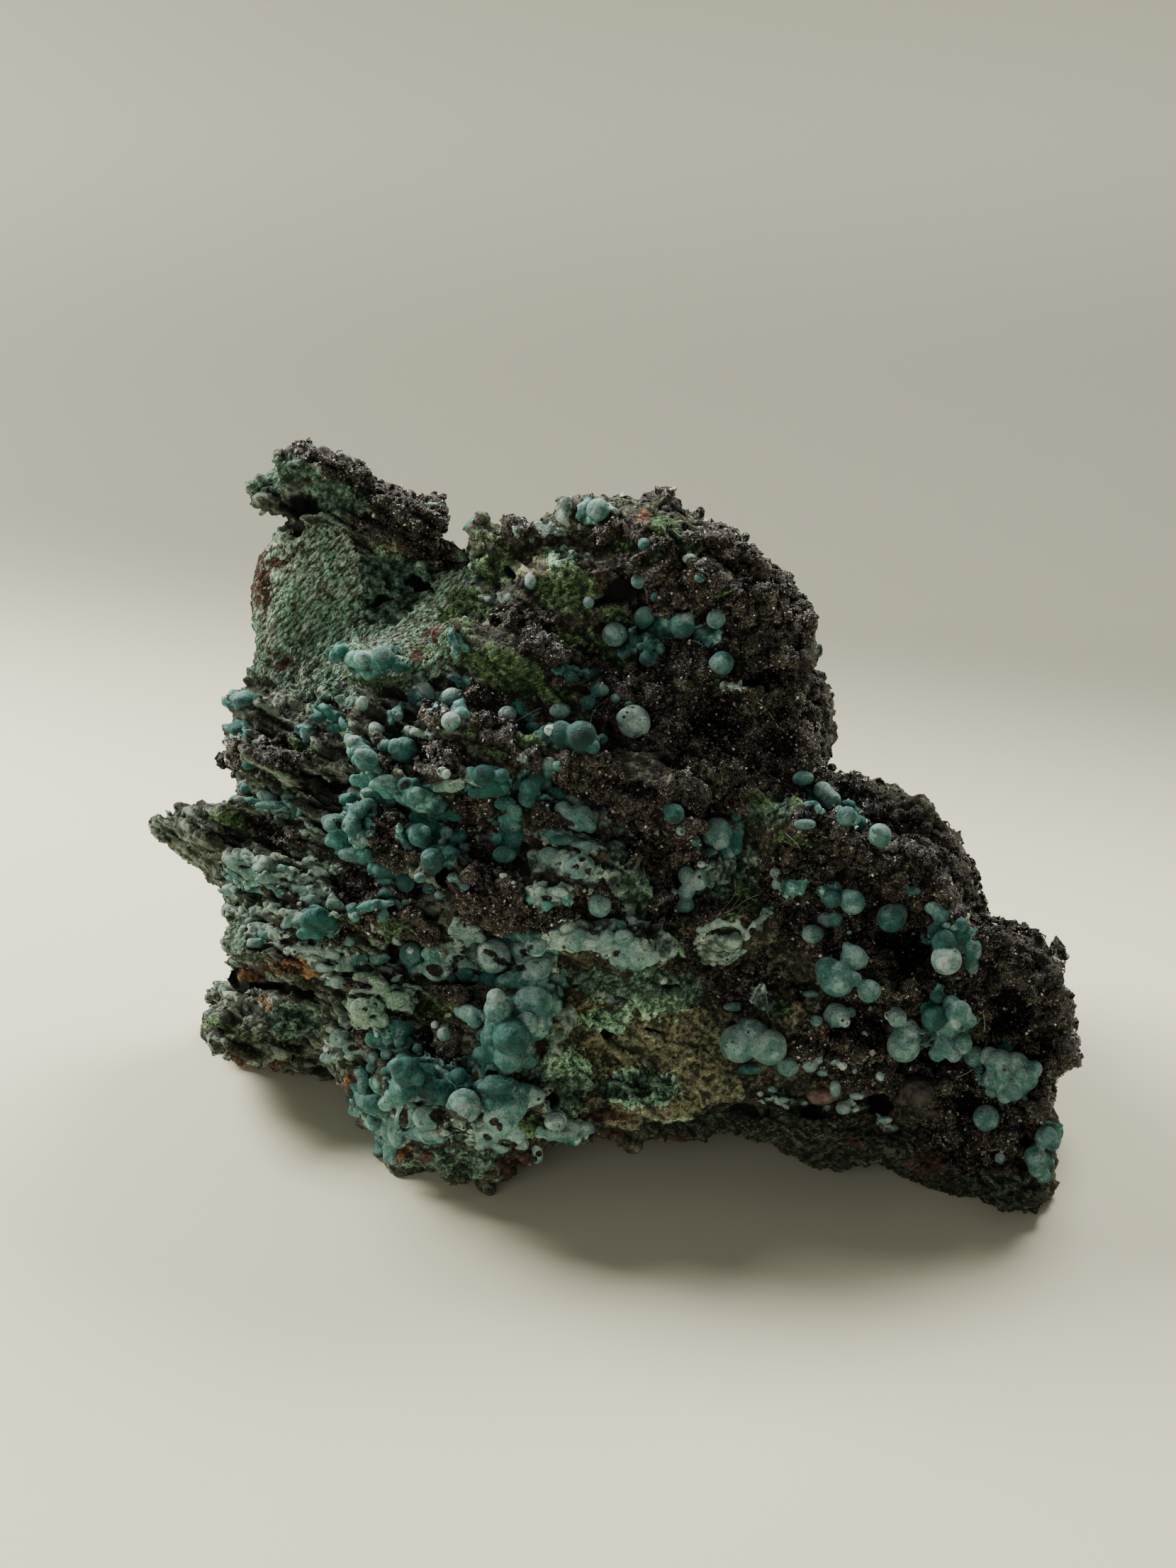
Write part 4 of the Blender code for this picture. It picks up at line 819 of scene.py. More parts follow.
# Smooth flows that coat the rock: across, down, half length, half height and tone, then a turn and
# a mint share where they aren't 0.
FLOWS = [
    (735, 1385, 40, 22, .32), (750, 1415, 30, 24, .42), (735, 1450, 38, 30, .36),
    (725, 1488, 36, 20, .32), (757, 1440, 22, 26, .52), (766, 1414, 12, 12, .6),
    (744, 1496, 16, 14, .5), (700, 1462, 22, 26, .3), (688, 1487, 22, 14, .34),
    (715, 1330, 14, 12, .35), (735, 1340, 16, 12, .5), (757, 1336, 16, 16, .6),
    (766, 1352, 14, 14, .62), (750, 1370, 24, 18, .58), (775, 1378, 12, 10, .62),
    (690, 1384, 16, 16, .14), (664, 1432, 26, 14, .66, -20), (716, 1425, 22, 16, .46),
    (590, 1520, 32, 22, .12), (615, 1540, 30, 18, .1), (568, 1538, 20, 20, .26),
    (556, 1548, 14, 14, .38), (579, 1536, 13, 12, .34), (570, 1505, 16, 14, .2),
    (512, 1524, 9, 18, .5, 10), (512, 1546, 12, 18, .44, 15), (530, 1562, 18, 11, .42),
    (546, 1556, 14, 12, .5), (700, 1530, 34, 14, .3), (716, 1546, 30, 20, .34),
    (725, 1566, 20, 20, .5), (700, 1560, 20, 14, .4), (748, 1549, 16, 12, .68),
    (762, 1543, 9, 8, .72), (708, 1580, 28, 24, .56), (688, 1600, 20, 16, .62),
    (725, 1594, 16, 20, .6), (736, 1614, 12, 10, .64), (702, 1616, 20, 10, .7),
    (757, 1622, 9, 18, .72), (761, 1598, 6, 8, .66), (575, 1574, 18, 20, .56),
    (560, 1592, 14, 26, .5), (549, 1618, 12, 24, .52), (602, 1572, 16, 16, .58),
    (592, 1600, 22, 12, .5), (612, 1606, 22, 10, .42), (559, 1638, 12, 8, .5),
    (615, 1556, 20, 9, .5), (785, 1580, 16, 12, .6), (806, 1588, 16, 12, .62),
    (826, 1592, 13, 9, .64), (790, 1603, 30, 8, .5), (775, 1600, 14, 8, .5),
    (512, 1378, 15, 9, .62, -8, .9), (535, 1386, 14, 8, .62, -20, .9),
    (500, 1412, 12, 18, .6, 0, .8), (518, 1426, 24, 22, .6, 0, .8), (536, 1440, 12, 12, .55, 0, .7),
    (564, 1410, 17, 15, .62, 0, .8), (548, 1400, 14, 6, .62, 0, .8), (582, 1392, 16, 6, .6, 0, .7),
    (520, 1399, 26, 5, .7, 0, .6), (560, 1380, 12, 5, .64, 20, .6), (600, 1400, 10, 4, .6, -20, .6),
    (585, 1412, 8, 5, .6, 0, .6), (455, 1345, 26, 11, .62, 0, .1), (482, 1360, 24, 12, .58, 0, .1),
    (508, 1350, 20, 12, .44), (476, 1385, 12, 9, .56, 0, .1), (425, 1340, 26, 6, .66, 5, .1),
    (535, 1352, 16, 8, .4), (480, 1465, 16, 12, .62, 0, .1), (463, 1492, 12, 9, .56, 0, .1),
    (500, 1480, 16, 10, .56, 0, .1), (530, 1466, 16, 14, .3), (562, 1452, 24, 13, .24),
    (548, 1466, 10, 9, .42), (526, 1492, 10, 9, .46), (470, 1009, 32, 9, .3, -22),
    (500, 1048, 18, 9, .44, -40), (517, 1072, 19, 14, .42), (520, 1100, 30, 12, .36),
    (548, 1114, 30, 11, .42, -15), (572, 1130, 20, 7, .46, -30), (500, 1130, 22, 12, .38),
    (474, 1160, 20, 15, .42, 0, .1), (478, 1186, 22, 12, .34), (494, 1206, 13, 11, .46, 0, .1),
    (516, 1206, 12, 10, .46), (545, 1228, 28, 12, .28, -12), (610, 1216, 16, 18, .18),
    (632, 1204, 20, 9, .22, 10), (548, 1258, 16, 9, .46), (500, 1283, 10, 8, .46),
    (522, 1278, 20, 6, .5, 10), (552, 1273, 20, 5, .5), (595, 1154, 22, 15, .26),
    (612, 1172, 20, 14, .28, -20), (640, 1150, 14, 10, .3), (585, 1115, 16, 16, .16),
    (690, 1094, 24, 14, .12), (680, 1119, 22, 8, .3, -12), (713, 1134, 15, 8, .4),
    (719, 1154, 17, 10, .34), (722, 1176, 20, 15, .28), (714, 1199, 22, 14, .24),
    (702, 1184, 11, 8, .52), (786, 1120, 16, 9, .4), (795, 1184, 36, 8, .44, -14, .1),
    (830, 1196, 30, 8, .5, -10, .2), (775, 1176, 20, 8, .34, -10), (728, 1004, 24, 14, .36),
    (448, 1296, 27, 16, .1), (438, 1316, 20, 10, .18, 10), (466, 1302, 14, 12, .14),
    (345, 986, 22, 11, .46), (338, 1028, 18, 12, .28), (352, 1078, 10, 8, .3),
    (346, 1112, 9, 7, .3), (350, 1131, 28, 7, .44, -10), (377, 1124, 14, 8, .54, -20, .2),
    (405, 1126, 12, 7, .5, 0, .2), (400, 1152, 12, 8, .56, 0, .3), (430, 1176, 12, 7, .56, -30, .3),
    (430, 1034, 9, 12, .54, 0, .1), (342, 1224, 34, 11, .54, -28, .3),
    (382, 1240, 34, 8, .56, -22, .3), (402, 1228, 18, 7, .56, -20, .2),
    (422, 1257, 26, 11, .56, -12, .2), (440, 1272, 20, 7, .58, 0, .2),
    (470, 1276, 12, 8, .5, 0, .5), (325, 1262, 22, 6, .54, -24, .2), (355, 1300, 10, 7, .56, 0, .2),
    (376, 1316, 14, 8, .56, 0, .2), (360, 1332, 12, 7, .54, 0, .2), (336, 1358, 11, 5, .62, -30),
    (775, 1213, 20, 17, .58, 0, .25), (818, 1222, 23, 19, .6, 0, .25),
    (760, 1262, 12, 12, .62, 0, .1), (787, 1258, 18, 7, .66, -10, .2), (772, 1277, 9, 7, .62),
    (750, 1268, 10, 7, .56), (800, 1272, 10, 6, .62), (845, 1334, 28, 11, .64, 0, .1),
    (882, 1336, 30, 18, .68, 0, .1), (906, 1352, 22, 13, .74, 0, .1),
    (815, 1328, 16, 14, .68, 0, .1), (790, 1334, 14, 9, .74, 0, .1),
    (660, 1316, 28, 13, .54, -22, .3), (640, 1344, 18, 11, .56, 0, .3),
    (660, 1360, 14, 9, .56, 0, .3), (670, 1380, 10, 6, .56, 0, .2), (628, 1108, 30, 9, .64, 0, .5),
    (624, 1091, 7, 7, .8, 0, .4), (600, 975, 15, 11, .66, -30, .1), (640, 984, 20, 15, .5, 0, .2),
    (512, 993, 8, 12, .6, 0, .2), (530, 1028, 14, 9, .54, 0, .3), (562, 1012, 10, 8, .46, 0, .1),
    (480, 918, 14, 8, .34, 20), (505, 930, 20, 13, .58), (540, 930, 20, 15, .44),
    (562, 941, 18, 8, .28), (648, 900, 22, 5, .42, -55), (658, 914, 9, 6, .48, -30),
    (1038, 1186, 9, 22, .48), (1024, 1206, 9, 10, .5), (1040, 1166, 10, 7, .5),
    (1310, 1418, 20, 16, .1), (1342, 1322, 26, 14, .1), (1370, 1350, 14, 24, .38),
    (1318, 1318, 12, 10, .12), (618, 1366, 22, 16, .5, 0, .1), (610, 1345, 16, 12, .44),
    (640, 1378, 14, 10, .46, 0, .1), (700, 1112, 20, 10, .2),
]
# Dark rock that shows through the growths, as patches.
GRIME = [
    (692, 1345, 12, 4, -25), (708, 1357, 13, 5, -20), (741, 1344, 7, 5), (734, 1366, 7, 4),
    (569, 1578, 7, 17), (633, 1580, 28, 14, -25), (650, 1592, 16, 14), (697, 1583, 7, 6),
    (705, 1591, 4, 6), (716, 1613, 13, 5, -10), (688, 1606, 8, 4, -30), (760, 1628, 4, 4),
    (754, 1635, 4, 4), (515, 1424, 4, 4), (526, 1434, 4, 3), (530, 1417, 4, 3),
    (614, 1368, 14, 8, -20), (585, 1380, 20, 7), (466, 1358, 13, 3, -5), (508, 1405, 20, 4),
    (812, 1223, 5, 4), (830, 1229, 5, 5), (800, 1236, 5, 4), (774, 1242, 9, 6), (822, 1212, 4, 3),
    (800, 1161, 12, 5, -20), (772, 1268, 7, 5), (612, 1122, 6, 4), (480, 1164, 7, 5, -40),
    (572, 1108, 8, 5, 30), (345, 1222, 9, 3, -5), (367, 1227, 4, 6), (418, 1262, 4, 4),
    (405, 1254, 4, 4), (372, 1308, 6, 4), (352, 1312, 5, 4), (748, 1336, 5, 4), (500, 1478, 8, 6),
    (545, 1424, 4, 4), (568, 1396, 14, 3), (1022, 1333, 20, 8, -20), (1062, 1288, 4, 3),
    (645, 1352, 8, 4), (656, 1344, 5, 4), (818, 1345, 8, 4), (870, 1345, 5, 4),
]

# Dark glassy lumps: across, down, half width, half height.
SMOKY_LUMPS = [
    (1295, 1540, 30, 22), (1312, 1568, 12, 9), (1262, 1448, 18, 12), (1275, 1552, 14, 10),
]
REDDISH_LUMPS = [(1160, 1545, 24, 14), (870, 1345, 5, 4), (855, 992, 7, 5)]


def node_balls():
    """The balls of each growth, in millimetres, each where its own solid stands."""
    found = {}
    large, shallow = 0.6, 0.6
    for growth, rows in GROWTHS.items():
        node = "rosasite_" + growth
        tree = tree_of(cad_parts[node].data, MM)
        lead = None
        found[node] = []
        for across, down, radius, tone in rows:
            way = sight(across, down)
            hit = tree.ray_cast(EYE, way)[0] or tree.find_nearest(EYE + way * EYE_DISTANCE)[0]
            true = sheet_length(radius, hit)
            sunk = 1.0 if lead is None or true > large * lead else shallow
            lead = lead or true
            found[node].append((hit + way * true * sunk, true, tone, 0.0, DICE.random()))
    return found


def drawn_out(found, skin):
    """The same balls, with any that the crust would bury drawn towards the eye to stand out."""
    out = {}
    furthest, standing = 2.2, 0.35
    for node, balls in found.items():
        out[node] = []
        for centre, radius, *rest in balls:
            away = (centre - EYE).length
            way = (centre - EYE) / away
            hit = skin.ray_cast(EYE, way)[0]
            if hit is not None:
                away = max(away - furthest, min(away, (hit - EYE).length + standing * radius))
            out[node].append((EYE + way * away, radius, *rest))
    return out


def add_ball(bm, centre, radii, level):
    size = Matrix.Diagonal((*radii, 1))
    turn = Matrix.Rotation(DICE.uniform(0, 6), 4, "Z") if len(set(radii)) == 1 else Matrix()
    put_ball(bm, Matrix.Translation(centre) @ size @ turn, level)


def sheet_ball(bm, centre, long, high, level=2):
    """A ball whose width and height are measured across the sheet."""
    size = Matrix.Diagonal((long, (long + high) / 2, high, 1))
    put_ball(bm, Matrix.Translation(centre) @ lay_of(RIGHT, AWAY, UP) @ size, level)


def joined_balls(bm, balls, size, roughen=0.05, soften=1, warp=0.0):
    """Join the shapes, dimple them a little, and store each point's tone from its nearest ball."""
    mesh = voxel_joined(mesh_of(bm, "balls"), size, soften, 0.4)
    points, norms = coordinates(mesh), normals(mesh)
    grime = grime_of(points)
    bumps = roughen * (spread(points, 1.3, 51) + 0.6 * spread(points, 0.6, 52))
    bumps -= grime * (0.30 + 0.25 * spread(points, 0.5, 55))
    if warp:
        bumps += warp * (spread(points, 2.4, 56) + 0.6 * spread(points, 1.1, 57))
    mesh.vertices.foreach_set("co", (points + norms * bumps[:, None]).ravel())
    store_tones(mesh, points, balls, grime)
    mesh.shade_smooth()
    mesh.update()
    return mesh


def grime_of(points):
    """How far dark rock shows through at each point."""
    across, down = on_sheet(points)
    across, down = across + 2.5 * spread(points, 0.9, 53), down + 2.5 * spread(points, 0.9, 54)
    return np.max([patch_weight(across, down, patch, 0.2) for patch in GRIME], axis=0)


def store_tones(mesh, points, balls, grime):
    tree = near_tree([ball[0] for ball in balls])
    table = np.ones((len(points), 4))
    for i, point in enumerate(points):
        near = min(tree.find_n(point, 5), key=lambda n: n[2] - balls[n[1]][1])
        table[i, :3] = balls[near[1]][2:5]
    table[:, 3] = grime
    attribute = mesh.attributes.new("tones", "FLOAT_COLOR", "POINT")
    attribute.data.foreach_set("color", table.ravel())


def make_growths(found, skin, material):
    """Each growth of balls, joined and rooted in the rock."""
    knuckled, rooted, root_depth, root_share = 1.25, 1.0, 0.55, 0.74
    for node, balls in found.items():
        bm = bmesh.new()
        for centre, radius, *_ in balls:
            add_ball(bm, centre, (radius,) * 3, 3)
            if radius > knuckled:
                add_knuckles(bm, centre, radius)
            if radius > rooted:
                floor = skin.find_nearest(centre)[0]
                root = centre + (floor - centre).normalized() * radius * root_depth
                add_ball(bm, root, (radius * root_share,) * 3, 3)
        mesh = joined_balls(bm, balls, BALL_VOXEL)
        finish_piece(node + "_grown", mesh, material, "rosasite", node)


def random_way():
    return Vector([DICE.gauss(0, 1) for _ in range(3)]).normalized()


def add_knuckles(bm, centre, radius):
    """Low domes that swell out of a ball's skin on the side that is seen."""
    knuckles, behind, proud = 9, 0.3, 1.035
    for _ in range(knuckles):
        way = random_way()
        if way.dot(AWAY) < behind:
            size = radius * DICE.uniform(0.42, 0.6)
            add_ball(bm, centre + way * (radius * proud - size), (size,) * 3, 2)


def seat(skin, across, down):
    """Where the line of sight through a place on the sheet meets the skin."""
    way = sight(across, down)
    hit, normal = skin.ray_cast(EYE, way)[:2]
    return hit, normal, way


def make_small_balls(skin, material):
    """The smaller balls, in two joined pieces: left and right."""
    for name, low, high in (("rosasite_small_left", 0, 860), ("rosasite_small_right", 860, 1700)):
        bm, balls = bmesh.new(), []
        for across, down, long, tall, tone in SMALL_BALLS:
            if not low <= across < high:
                continue
            hit, normal, way = seat(skin, across, down)
            if hit is None:
                continue
            wide, rise = sheet_length(long, hit), sheet_length(tall, hit)
            centre = hit - way * min(wide, rise) * 0.3 + normal * 0.1
            sheet_ball(bm, centre, wide, rise)
            sheet_ball(bm, centre + way * min(wide, rise) * 0.7, wide * 0.8, rise * 0.8)
            balls.append((centre, min(wide, rise), tone, 0.0, DICE.random()))
        mesh = joined_balls(bm, balls, SMALL_VOXEL, 0.06)
        finish_piece(name, mesh, material, "rosasite")


def flow_places(skin):
    """Where each flow lies on the skin: its middle, its frame, its sizes and its tones."""
    laid = []
    for across, down, long, high, tone, *rest in FLOWS:
        turn, mint = (*rest, *(0, 0)[len(rest):])
        hit, normal, way = seat(skin, across, down)
        if hit is None:
            continue
        out = (normal * 0.5 - way).normalized()
        along = turned_ways(turn)[0]
        along = (along - out * along.dot(out)).normalized()
        lay = lay_of(along, out, along.cross(out))
        laid.append((hit, lay, sheet_length(long, hit), sheet_length(high, hit), tone, mint))
    return laid


def make_flows(laid, material):
    """The smooth flows, melted into one another: the foot of the face and the rest."""
    foot_line, swell, film = 1320, 0.54, 0.20
    paler, plainer = 0.07, 0.6  # what the foot differs by; a mint share below 0 is clearer teal
    for name, low in (("rosasite_flows_foot", True), ("rosasite_flows_face", False)):
        bm, balls = bmesh.new(), []
        for centre, lay, long, high, tone, mint in laid:
            if (centre.x < 0 and on_sheet(np.array([centre]))[1][0] > foot_line) != low:
                continue
            thick = swell * min(long, high) + film
            size = Matrix.Diagonal((long, thick, high, 1))
            put_ball(bm, Matrix.Translation(centre) @ lay @ size, 3)
            balls.append((centre, min(long, high), tone + paler * low, mint or plainer * low - 1.0,
                          DICE.random()))
        mesh = joined_balls(bm, balls, FLOW_VOXEL, 0.08, 4, 0.45)
        finish_piece(name, mesh, material, "rosasite")


def band_places(places, half_width, density):
    """Random places along a band on the sheet."""
    for (x0, y0), (x1, y1) in zip(places, places[1:]):
        length = math.hypot(x1 - x0, y1 - y0)
        for _ in range(max(2, int(length / 10 * density * half_width / 4))):
            t = DICE.random()
            side = DICE.gauss(0, 0.5) * half_width
            drift = DICE.gauss(0, 0.3) * half_width
            yield (x0 + (x1 - x0) * t - (y1 - y0) / length * side + drift,
                   y0 + (y1 - y0) * t + (x1 - x0) / length * side)


def make_crusts(skin, material):
    """The thin pale and teal crusts, melted together from beads."""
    bm, balls = bmesh.new(), []
    for tone, mint, half_width, bead, density, places in CRUSTS:
        for across, down in band_places(places, half_width, density):
            hit, normal, way = seat(skin, across, down)
            if hit is None or normal.dot(way) > -0.1:
                continue
            radius = sheet_length(bead, hit) * DICE.uniform(0.6, 1.25)
            centre = hit + normal * radius * 0.12
            add_ball(bm, centre, (radius, radius, radius * 0.8), 1)
            balls.append((centre, radius, tone + DICE.uniform(-0.08, 0.08), mint, DICE.random()))
    mesh = joined_balls(bm, balls, CRUST_VOXEL, 0.07, 3)
    finish_piece("rosasite_crusts", mesh, material, "rosasite")


def make_lumps(skin, name, rows, material):
    bm, balls = bmesh.new(), []
    for across, down, long, high in rows:
        hit, _, way = seat(skin, across, down)
        wide, rise = sheet_length(long, hit), sheet_length(high, hit)
        centre = hit + way * min(wide, rise) * 0.3
        sheet_ball(bm, centre, wide, rise, 3)
        balls.append((centre, min(wide, rise), 0.5, 0.0, 0.5))
    mesh = joined_balls(bm, balls, BALL_VOXEL, 0.25)
    finish_piece(name, mesh, material, "plattnerite_rock")


# Round knobs that stand out along the rim: across, down, radius.
RIM_KNOBS = [
    (1191, 1104, 7), (1208, 1113, 9), (1231, 1120, 10), (1256, 1140, 11), (1276, 1151, 10),
    (1292, 1147, 13), (1306, 1168, 11), (1318, 1176, 9), (1333, 1186, 13), (1343, 1199, 13),
    (1340, 1217, 11), (1351, 1237, 11), (1361, 1257, 11), (1385, 1293, 9), (1400, 1300, 8),
    (1417, 1325, 11), (1440, 1334, 8), (1464, 1349, 13), (1475, 1356, 9), (1488, 1378, 13),
    (1492, 1402, 11), (1489, 1431, 10), (1502, 1482, 15), (1497, 1497, 11), (1474, 1562, 13),
    (1468, 1542, 11), (940, 720, 8), (965, 741, 8), (988, 741, 8), (1020, 763, 11), (1049, 783, 11),
    (1064, 797, 7), (1098, 823, 13), (1115, 842, 13), (1121, 866, 14), (1120, 887, 10),
    (1138, 937, 13), (1132, 926, 11), (1137, 960, 10), (1147, 977, 13), (1145, 1002, 10),
    (612, 718, 10), (625, 745, 9), (630, 774, 9), (511, 668, 8), (545, 703, 6), (480, 645, 7),
    (452, 640, 6), (905, 715, 6), (1160, 1062, 8), (1172, 1085, 8),
]
# Smaller lumps of crust on the dark ground of the face: across, down, radius.
FACE_KNOBS = [
    (1305, 1190, 10), (1290, 1178, 9), (1285, 1205, 9), (1320, 1205, 10), (1262, 1200, 8),
    (1215, 1210, 9), (1180, 1218, 12), (1200, 1230, 11), (1240, 1250, 13), (1262, 1262, 12),
    (1225, 1268, 9), (1290, 1300, 9), (1275, 1330, 9), (1150, 1280, 11), (1135, 1300, 9),
    (1100, 1330, 11), (1125, 1340, 9), (1075, 1345, 10), (1420, 1330, 9), (1390, 1330, 10),
    (1370, 1390, 11), (1400, 1390, 11), (1440, 1390, 10), (1465, 1420, 10), (1440, 1455, 9),
    (1375, 1430, 8), (1290, 1400, 10), (1260, 1390, 9), (1240, 1360, 9), (1300, 1370, 9),
    (1330, 1510, 9), (1250, 1510, 10), (1220, 1480, 9), (1130, 1470, 8), (1340, 1560, 9),
    (1430, 1580, 9), (1400, 1610, 8), (1060, 1230, 9), (1080, 1215, 8), (1035, 1270, 7),
    (1150, 1170, 8), (1120, 1215, 8), (1170, 1195, 9), (1060, 780, 8), (1010, 800, 9),
    (1060, 850, 10), (1080, 905, 10), (1010, 980, 9), (1070, 975, 10), (1110, 985, 10),
    (1090, 1020, 9), (1130, 1040, 9), (1060, 1050, 8), (1000, 1080, 8), (960, 1080, 8),
    (950, 830, 8), (1000, 760, 8), (980, 850, 8), (935, 960, 8), (960, 985, 8),
]


def beside(skin, across, down):
    """The point on the line of sight that lies nearest to the skin."""
    way = sight(across, down)
    start, step, count = 270, 0.5, 220
    steps = [EYE + way * (start + step * k) for k in range(count)]
    return min(steps, key=lambda place: skin.find_nearest(place)[3])


def make_set_knobs(skin, material):
    """The knobs that were placed one by one, each a lump of smaller lumps."""
    bm, balls = bmesh.new(), []
    for rows, raised, sunk in ((RIM_KNOBS, 0.60, 0.0), (FACE_KNOBS, 0.2, 0.3)):
        for across, down, size in rows:
            place = seat(skin, across, down)[0] or beside(skin, across, down)
            radius = sheet_length(size, place)
            floor = skin.find_nearest(place)[0]
            way = (place - floor).normalized() if (place - floor).length > 0.2 else Vector()
            centre = floor + way * radius * raised + sight(across, down) * radius * sunk
            centre.z = max(centre.z, radius * 1.1 + 0.2)
            add_ball(bm, centre, (radius * 0.9, radius * 0.85, radius * 0.85), 2)
            for _ in range(10):
                way = random_way()
                small = radius * DICE.uniform(0.28, 0.46)
                add_ball(bm, centre + way * (radius - small * 0.75), (small,) * 3, 1)
            balls.append((centre, radius, 0.5, 0.0, 0.5))
    mesh = joined_balls(bm, balls, KNOB_VOXEL, 0.16, 0)
    finish_piece("plattnerite_knobs_set", mesh, material, "plattnerite_rock")


# Fine fibres that lie on the crust: half thickness and how far they stand off, in millimetres,
# then places.
FIBRES = [
    (0.035, 0.5, [(808, 1062), (822, 1050), (832, 1030), (834, 1010), (841, 996), (852, 990)]),
    (0.030, 0.5, [(728, 1018), (742, 1009), (756, 1001), (764, 999)]),
    (0.030, 0.5, [(1050, 985), (1068, 989), (1084, 1002), (1098, 1026)]),
    (0.045, 0.4, [(940, 727), (960, 722), (978, 731), (992, 744), (996, 752)]),
    (0.040, 0.3, [(950, 748), (962, 760), (982, 763), (996, 758)]),
    (0.040, 0.3, [(1185, 1142), (1202, 1132), (1212, 1148), (1206, 1168)]),
    (0.040, 0.3, [(1036, 1240), (1040, 1256), (1032, 1270), (1014, 1290)]),
    (0.040, 0.3, [(1046, 1262), (1036, 1276), (1026, 1292)]),
    (0.045, 0.3, [(1070, 1262), (1050, 1270), (1034, 1284), (1022, 1288)]),
    (0.040, 0.3, [(1060, 1276), (1046, 1280), (1038, 1294)]),
    (0.040, 0.3, [(1078, 1398), (1084, 1412), (1080, 1428), (1088, 1440)]),
    (0.035, 0.3, [(1350, 1520), (1372, 1512), (1384, 1494), (1392, 1470)]),
    (0.035, 0.3, [(1380, 1415), (1392, 1434), (1388, 1456)]),
    (0.040, 0.3, [(1160, 1180), (1176, 1186), (1192, 1180)]),
    (0.040, 0.3, [(1108, 1176), (1120, 1184), (1128, 1196)]),
    (0.045, 0.3, [(850, 752), (862, 738), (872, 730)]),
]


def make_fibres(skin, material):
    """The fine fibres, each a thin closed tube along its places."""
    curve = bpy.data.curves.new("fibres", "CURVE")
    curve.dimensions, curve.use_fill_caps, curve.bevel_resolution = "3D", True, 1
    curve.bevel_depth, curve.resolution_u = 1.0, 5
    for half, off, places in FIBRES:
        spots = []
        for across, down in places:
            hit = seat(skin, across, down)[0] or beside(skin, across, down)
            spots.append(hit - sight(across, down) * off)
        spline = curve.splines.new("NURBS")
        spline.points.add(len(spots) - 1)
        spline.order_u, spline.use_endpoint_u = 3, True
        for point, spot in zip(spline.points, spots):
            point.co, point.radius = (*spot, 1), half
    mesh = applied(new_object("fibres", curve))
    mesh.shade_smooth()
    finish_piece("dust_fibres", mesh, material, "rosasite")


# ---- plattnerite crystals
def colours_of(mesh, title):
    return numbers_of(mesh.attributes[title].data, "color", 4)


def layer_of(mesh, layer):
    """One layer's weight on each point."""
    title = LAYER_SETS[LAYER_NAMES.index(layer) // 4]
    return colours_of(mesh, title)[:, LAYER_NAMES.index(layer) % 4]


def scattered(mesh, weight, count, rng):
    """Random places on the mesh, thicker where the weight is greater, with their normals and
    the point of the mesh that each is nearest to."""
    mesh.calc_loop_triangles()
    corners = numbers_of(mesh.loop_triangles, "vertices", 3, np.int64)
    p = coordinates(mesh)[corners]
    cross = np.cross(p[:, 1] - p[:, 0], p[:, 2] - p[:, 0])
    area = np.linalg.norm(cross, axis=1) / 2
    chance = area * weight[corners].mean(axis=1)
    pick = rng.choice(len(chance), size=count, p=chance / chance.sum())
    a, b = np.sqrt(rng.random(count)), rng.random(count)
    share = np.stack([1 - a, a * (1 - b), a * b], axis=1)
    places = (p[pick] * share[:, :, None]).sum(axis=1)
    ways = cross[pick] / np.maximum(area[pick, None] * 2, 1e-9)
    return places, ways, corners[pick, share.argmax(axis=1)]


def strewn(mesh, weight, count, sizes_from, skew, proud, tall, rng):
    """Scattered places and a size for each, mostly small, raised by a share of it and clear of
    the floor by another."""
    places, ways, nearest = scattered(mesh, weight, count, rng)
    least, most = sizes_from
    sizes = least + (most - least) * rng.random(count) ** skew
    places = places + ways * (sizes * proud)[:, None]
    places[:, 2] = np.maximum(places[:, 2], sizes * tall + GRAIN_CLEAR)
    return places, sizes, ways, nearest


def random_turns(count, rng):
    """Turns that are even in every way, made from random quaternions."""
    w, x, y, z = unit(rng.normal(size=(count, 4))).T
    return np.stack([
        np.stack([1 - 2 * (y * y + z * z), 2 * (x * y - z * w), 2 * (x * z + y * w)], axis=1),
        np.stack([2 * (x * y + z * w), 1 - 2 * (x * x + z * z), 2 * (y * z - x * w)], axis=1),
        np.stack([2 * (x * z - y * w), 2 * (y * z + x * w), 1 - 2 * (x * x + y * y)], axis=1),
    ], axis=1)


